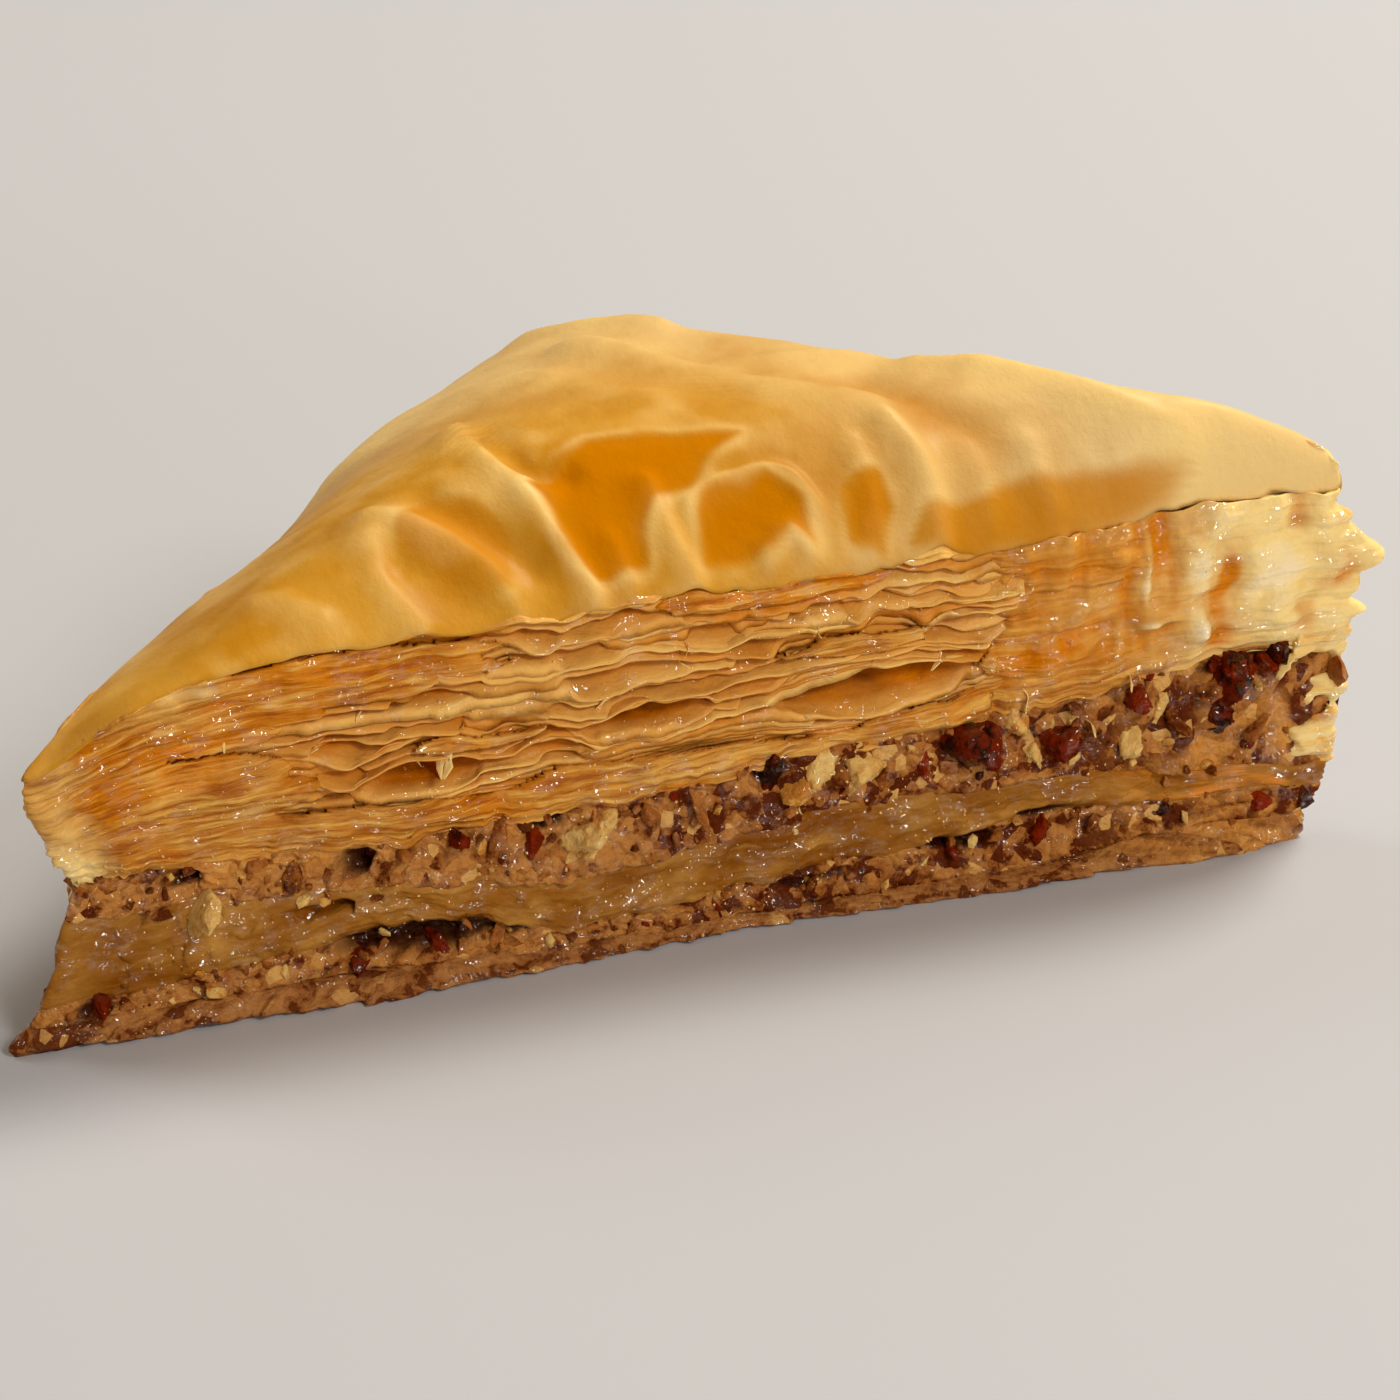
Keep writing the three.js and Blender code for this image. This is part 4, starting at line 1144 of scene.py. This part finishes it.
def makeDrops():
    random = np.random.default_rng(piece["seed"] + 3)
    depsgraph = bpy.context.evaluated_depsgraph_get()
    spots = []
    for number in range(drops["count"]):
        if number % drops["cluster"] == 0:
            middleAlong = random.uniform(2, perimeter)
            if number % (4 * drops["cluster"]):
                middleAlong = random.uniform(2, piece["length"] - 1)
            level = random.choice(drops["levels"])
            place = np.array([middleAlong])
            tops = ("lowerNutTop", "middleTop", "upperNutTop")
            heights = [0, *(roundStation(name, place)[0] for name in tops), domeHeight(outline(place))[0]]
            middleUp = np.interp(level, range(5), heights)
        along = middleAlong + random.normal() * drops["spreadAlong"]
        up = middleUp + random.normal() * drops["spreadUp"]
        onCream = 83 < along < 98 and up > 14
        if up < domeHeight(outline(np.array([along])))[0] - 0.6 and not onCream:
            spots.append(surfaceAt(depsgraph, along, up, 0.03))
    shape = addShape("ico_sphere", "bead", subdivisions=1, radius=1, location=(0, 0, -0.1))
    made = []
    for spot in spots:
        if spot is not None:
            size = drops["least"] + (drops["most"] - drops["least"]) * random.uniform() ** 2.5
            stretch = random.uniform((0.8, 0.6, 0.5), (1.5, 1.0, 1.0))
            made.append(copyShape(shape, spot, size, stretch, random))
    finishPiece(joinAs("syrupGlintBeads", made), materials["syrupGlints"])
    bpy.data.objects.remove(shape)
    print("syrup beads made")


# pressed skins: where the sheets are squashed together, the cut face is one wet surface with low steps

skinForm = {
    "lift": 0.12, "steps": 0.9, "lumps": 0.3, "smallLumps": 0.15, "grain": 0.05, "tipTeeth": 1.1,
    "drips": 0.45, "marks": 1.5, "sunk": 0.9, "edgeWidth": 1.8, "thickness": 0.0004,
}

# marks: distance, height, half width, half height and rise of the lumps
# blotches: the same, with a tone from -1 (pale) to 1 (orange) instead of the rise
skins = [
    {"name": "leftSkin", "from": -7.0, "to": 71.2, "columns": 330, "rows": 112, "contrast": 1.3,
     "marks": [
         (10, 16.8, 2.4, 1.5, 0.35), (16.5, 16.2, 3, 1.3, 0.35), (7.4, 13, 1.6, 1.2, 0.4),
         (12, 12.7, 3, 0.8, 0.25), (21.5, 13.2, 4, 0.9, 0.25), (29, 12.6, 5, 0.7, 0.25),
         (38, 13.2, 3, 0.8, 0.3), (12, 20.4, 5, 0.5, -0.3), (4, 16.4, 1.4, 0.7, -0.4),
         (47.5, 15.0, 3.4, 1.2, 0.35), (53, 14.6, 3, 0.8, 0.25), (66, 13.6, 4, 0.7, 0.3)],
     "blotches": [
         (25, 23.8, 9, 1.1, 1.0), (13.5, 24.1, 3.4, 0.7, -0.9), (12, 20.7, 6, 1.0, 0.8),
         (20, 20.2, 5, 1.2, 0.6), (7, 17.2, 3.4, 1.0, 0.9), (12, 16.6, 4, 1.4, -0.5),
         (17, 14.8, 4, 1.2, -0.5), (27, 12.2, 8, 1.0, 0.1), (3, 14.6, 2, 4, -0.8),
         (6, 11.6, 2.4, 1.4, -0.9), (50, 25.2, 7, 0.9, 0.8), (59, 24.8, 4, 1.2, 0.9),
         (47.5, 15, 3.4, 1.2, -0.3), (31, 19.2, 4, 0.6, 0.7), (57, 22.6, 5, 0.8, 0.5)]},
    {"name": "rightSkin", "from": 69.4, "to": 99.5, "columns": 215, "rows": 130, "contrast": 1.0,
     "marks": [
         (72.6, 22.6, 0.6, 3.0, 0.2), (74.6, 23.4, 0.7, 1.7, 0.3), (76.2, 20.4, 1.1, 0.9, 0.3),
         (78.9, 23.6, 0.8, 1.3, 0.35), (79.4, 20.3, 0.9, 1.6, -0.25), (81.3, 22, 0.42, 2.9, 0.3),
         (82.9, 22.6, 0.5, 2.2, -0.25), (84.5, 23.2, 0.9, 1.6, 0.4), (81.4, 18.4, 1.0, 0.55, 0.55),
         (84.9, 17.5, 0.7, 0.95, 0.6), (83.4, 20.2, 1.0, 1.1, 0.3), (87.2, 22.6, 1.2, 1.8, 0.55),
         (86.6, 19.6, 0.8, 1.1, -0.3), (88.6, 18.2, 1.1, 1.5, 0.45), (76.4, 17, 1.4, 0.6, 0.35),
         (73.4, 16.4, 1.2, 0.6, 0.3), (90.6, 21.2, 0.7, 2.4, 0.45), (78, 15.6, 0.9, 0.5, 0.35),
         (77.5, 18.6, 2.4, 0.25, -0.25), (74.5, 21.7, 2.6, 0.22, -0.25), (80.2, 24.6, 2, 0.25, -0.2),
         (74.8, 19.2, 2, 0.2, 0.2), (78, 22.2, 1.6, 0.2, 0.2), (71.6, 17, 1.8, 0.5, -0.3)],
     "blotches": [
         (74.6, 20, 3.6, 4.4, 0.2), (76, 23.6, 4, 0.7, 0.5), (74, 16.6, 3, 0.8, 0.3),
         (79, 17.4, 2.4, 1.0, -0.2), (81.3, 22, 0.45, 2.8, -1.3), (81.4, 18.4, 1.0, 0.5, -1.3),
         (84.9, 17.5, 0.7, 0.9, -1.3), (71.6, 17, 2, 0.6, 0.9), (84.5, 22.8, 1, 1.6, -0.9),
         (88, 21, 1.8, 2.4, -0.7), (86.2, 21.4, 0.6, 2.2, 1.4), (78, 20.6, 2, 0.5, -0.4),
         (83.2, 21.4, 0.6, 2.4, 0.9), (79.8, 21.5, 0.6, 2.0, 0.7), (89.6, 17.6, 0.8, 1.0, 0.8),
         (91.5, 20.6, 1, 1.6, 0.7), (92, 24.4, 1.2, 0.8, 0.7), (89, 24.4, 2, 0.5, 0.7)]},
    {"name": "backSkin", "from": 99, "to": 218.2, "columns": 320, "rows": 60, "contrast": 1.0,
     "marks": [],
     "blotches": []},
    {"name": "tipSkin", "from": 89.6, "to": 98.5, "columns": 120, "rows": 110, "contrast": 1.0,
     "lowAt": [(90, 6.4), (93.4, 4.6), (95, 4.4), (99, 6)], "highAt": [(90, 16.6), (99, 16.6)],
     "marks": [
         (93.4, 14.4, 0.9, 1.4, 0.2), (94, 10.6, 0.9, 1.6, 0.25), (93.6, 7, 0.7, 1.0, 0.2)],
     "blotches": [
         (93, 13, 1.4, 1, 1.3), (91.6, 9.4, 1.2, 0.9, 1.0), (93.6, 7.4, 1.4, 0.7, 0.8),
         (91.6, 6, 1.4, 0.8, 1.2), (92.6, 10.6, 1.2, 0.7, -0.9), (91.4, 7.8, 1.2, 0.4, -1.0)]},
]


def makeSkin(skin):
    obj = addShape("grid", skin["name"], x_subdivisions=skin["columns"], y_subdivisions=skin["rows"], size=2)
    across, high, _ = (readPoints(obj).T + 1) / 2
    along = skin["from"] + (skin["to"] - skin["from"]) * across
    place = along % perimeter
    ragged = 0.5 * layeredNoise(wallSpots(along, 0), 2.2, 141)
    squashed = np.ones(len(along))
    if "lowAt" in skin:
        low = stationValue(skin["lowAt"], along)
        z = low + ragged + (stationValue(skin["highAt"], along) - low - ragged) * high
        deep = z
    else:
        z = stackHeight(outline(along), place, 0 * along, high)
        deep = (z - layerHeight("upperNutTop", place, 0 * along)) * 0.5 + 10 * high
        z += (ragged - 0.15) * (1 - ease(high, 0, 0.2)) + 0.3 * ease(high, 0.93, 1)
        if skin["name"] != "rightSkin":
            squashed = pressedShare(place, z)
    spot = wallSpots(along, z)
    longer, upOnly = spot * (0.6, 0.6, 1), spot * (0, 0, 1)
    fromTip = along - piece["length"]
    nearTip = bell(fromTip, 0, 2.5)
    steps = sheetSteps(along, deep, 161)
    small = noiseAt(longer, 0.9, 155)
    rise = skinForm["lift"] + skinForm["steps"] * steps
    rise += (skinForm["lumps"] - 0.08 * nearTip) * layeredNoise(longer, 2.4, 143, 4)
    rise += skinForm["smallLumps"] * small + skinForm["grain"] * noiseAt(spot, 0.45, 156)
    teeth = noiseAt(upOnly, 2.4, 159) + 0.5 * noiseAt(upOnly, 0.9, 160)
    rise += skinForm["tipTeeth"] * bell(fromTip, 0, 1.6) * teeth
    # torn sheets hang down like drips near the right tip
    zone = ease(along, 69, 75) * (1 - ease(along, 97, 104)) * ease(z, 14, 17)
    drips = noiseAt(streakSpots(along / 1.3, z / 5), 1, 157)
    drips += 0.5 * noiseAt(streakSpots(along / 0.6, z / 3), 1, 158)
    rise += zone * (0.15 + skinForm["drips"] * drips - 0.4 * steps)
    for at, up, halfWide, halfHigh, amount in skin["marks"]:
        rise += skinForm["marks"] * amount * bell(along, at, halfWide) * bell(z, up, halfHigh, 3)
    # it covers the face where the sheets are pressed together, with holes and a ragged border
    fromSides = np.minimum(along - skin["from"], skin["to"] - along)
    border = fromSides / skinForm["edgeWidth"] + 0.5 * noiseAt(spot, 1.1, 147)
    if "lowAt" in skin:
        border = np.minimum(border, 12 * np.minimum(high, 1 - high)) + 0.9 * layeredNoise(spot, 1.5, 149)
    gaps = 0.4 * noiseAt(spot * (0.5, 0.5, 1), 1.3, 146) + 0.5 * noiseAt(spot * (0.16, 0.16, 1), 1.1, 148)
    gaps = np.maximum(gaps, -0.2 - 2 * ease(place, 17, 23)) * (1 - ease(high, 0.8, 0.92))
    covers = ease(squashed + gaps, 0.35, 0.7) * ease(border, 0, 1) * (1 - openShare(place, z, 0.1))
    rise -= (skinForm["sunk"] - 0.3 * nearTip) * (1 - covers)
    rise -= (0.45 * (1 - ease(high, 0, 0.1)) + 0.25 * ease(high, 0.93, 1)) * (1 - 0.6 * nearTip)
    movePoints(obj, leaning(outline(along) + outward(along) * rise[:, None], z))
    # tone follows the relief: darker where steps and lumps sink, paler where they stand out and on the drips:
    # painted shade and painted highlight
    tone = 0.35 - 0.8 * steps - 0.35 * small + 0.5 * layeredNoise(spot * (0.3, 0.3, 1), 2.4, 151)
    tone = tone * (1 - 0.3 * zone) - (0.4 + 0.5 * ease(along, 76, 82)) * zone * drips
    for at, up, halfWide, halfHigh, amount in skin["blotches"]:
        tone += skin["contrast"] * amount * bell(along, at, halfWide) * bell(z, up, halfHigh)
    cream = creamShare(place, z) * (1 + 0.5 * noiseAt(spot, 2, 153)) + 0.7 * np.clip(-tone - 0.2, 0, 1)
    cream -= 0.8 * np.clip(tone - 0.35, 0, 1) + 0.5 * (1 - covers)
    setAttributes(obj, tone=np.clip(tone, 0, 1), pressed=1, cream=np.clip(cream, 0, 1),
                  white=np.clip(-tone - 0.6, 0, 1), lined=1 - 0.75 * zone)
    setFlow(obj, along, deep)
    removeWhere(obj, covers < 0.2)
    applyModifier(obj, "SOLIDIFY", thickness=skinForm["thickness"], offset=-1)
    finishPiece(obj, materials["sheets"])
    print(skin["name"], "made")


# loose flakes: small curled bits that stand off the cut faces

flakes = {
    # distance, height and size of the pale flakes that show on the cut face
    "named": [
        (29.3, 16.4, 1.5), (30.6, 16.6, 1.0), (27.9, 16.5, 0.7), (40.3, 15.3, 1.0), (41.2, 18.3, 0.9),
        (62.6, 17.4, 0.8), (57.6, 18.1, 0.7), (72.5, 14.0, 1.1), (79.8, 14.5, 1.3), (78.3, 11.2, 1.0),
        (88.6, 13.9, 1.1), (20.4, 18.0, 0.8), (47.2, 20.6, 0.8), (52.7, 23.9, 0.7), (66.4, 18.2, 0.8),
    ],
    "more": 24,
}


def makeFlakes():
    random = np.random.default_rng(piece["seed"] + 4)
    shape = addShape("grid", "flake", x_subdivisions=7, y_subdivisions=4, size=2)
    shape.location = (0, 0, -0.1)
    co = readPoints(shape)
    co[:, 1] *= 0.45 * (1 - 0.6 * co[:, 0] ** 2) + 0.12 * np.sin(co[:, 0] * 9)
    co[:, 2] = 0.5 * co[:, 0] ** 2 + 0.3 * co[:, 1] + 0.1 * np.sin(co[:, 0] * 5)
    shape.data.vertices.foreach_set("co", co.ravel())
    applyModifier(shape, "SOLIDIFY", thickness=0.09)
    wanted = list(flakes["named"])
    for _ in range(flakes["more"]):
        along = random.uniform(3, perimeter - 2)
        xy = outline(np.array([along]))
        top = (domeHeight(xy) + crustRelief(xy))[0] - 1.5
        low = roundStation("upperNutTop", np.array([along]))[0]
        wanted.append((along, random.uniform(low, top), random.uniform(0.3, 0.6)))
    depsgraph = bpy.context.evaluated_depsgraph_get()
    spots = [surfaceAt(depsgraph, along, up, 0.03) for along, up, _ in wanted]
    made = []
    for spot, (_, _, size) in zip(spots, wanted):
        if spot is not None:
            stretch = random.uniform((1.0, 0.4, 0.5), (1.5, 0.7, 0.9))
            made.append(copyShape(shape, spot, size, stretch, random))
    obj = joinAs("looseFlakes", made)
    setAttributes(obj, depth=0, pressed=0, cream=0.8)
    finishPiece(obj, materials["sheets"])
    bpy.data.objects.remove(shape)
    print("loose flakes made")


addRandomOpenings()
makeCrust()
makeStack()
makeLayers()
for skin in skins:
    makeSkin(skin)
makeNuts()
makeFlakes()
makeDrops()


# floor, light and camera

studio = {
    # camera: millimetres and degrees
    "target": (10.98, 0, 6.75), "distance": 380.4, "azimuth": -21.2, "elevation": 24, "lens": 135,
    "sensor": 36, "clipStart": 0.01,
    "floorSize": 4.0, "floorColour": (198, 201, 214), "worldColour": (252, 224, 166), "worldStrength": 0.2,
    # azimuth, elevation, distance and size in metres, power and colour
    "lights": {
        "keyLight": (112, 50, 0.9, 0.3, 6.6, (1, 0.93, 0.76)),
        "fillLight": (16, 38, 1.0, 0.22, 3.3, (1, 0.95, 0.86)),
        "sparkLight": (14, 14, 0.7, 0.09, 0.8, (1, 0.97, 0.92)),
        "sheenLight": (-140, 35, 0.9, 0.4, 1.6, (1, 0.96, 0.92)),
    },
    "lightTarget": (0, 0, 0.015),
}


def makeFloor():
    floor = addShape("plane", "floor", size=studio["floorSize"], location=(0, 0, 0))
    colour = srgb(*studio["floorColour"])
    material, _, _ = startMaterial("floorPaper", {"Base Color": colour, "Roughness": 0.7})
    floor.data.materials.append(material)


def toward(azimuth, elevation):
    a, e = math.radians(azimuth), math.radians(elevation)
    return np.array([math.sin(a) * math.cos(e), -math.cos(a) * math.cos(e), math.sin(e)])


def aim(obj, target):
    direction = Vector(target) - obj.location
    obj.rotation_euler = direction.to_track_quat("-Z", "Y").to_euler()


def makeLights():
    for name, (azimuth, elevation, distance, size, power, colour) in studio["lights"].items():
        bpy.ops.object.light_add(type="AREA", location=tuple(toward(azimuth, elevation) * distance))
        light = bpy.context.object
        light.name = name
        light.data.size = size
        light.data.energy = power
        light.data.color = colour
        aim(light, studio["lightTarget"])
    world = bpy.data.worlds.new("studio")
    world.use_nodes = True
    background = world.node_tree.nodes["Background"]
    background.inputs["Color"].default_value = srgb(*studio["worldColour"])
    background.inputs["Strength"].default_value = studio["worldStrength"]
    bpy.context.scene.world = world
    bpy.context.scene.view_settings.view_transform = "Standard"


def makeCamera():
    target = toFrame(np.array([studio["target"]]))[0]
    back = toward(studio["azimuth"], studio["elevation"]) * studio["distance"] / 1000
    bpy.ops.object.camera_add(location=tuple(target + back))
    camera = bpy.context.object
    camera.data.lens = studio["lens"]
    camera.data.sensor_width = studio["sensor"]
    camera.data.clip_start = studio["clipStart"]
    aim(camera, tuple(target))
    bpy.context.scene.camera = camera


makeFloor()
makeLights()
makeCamera()
print("studio made")
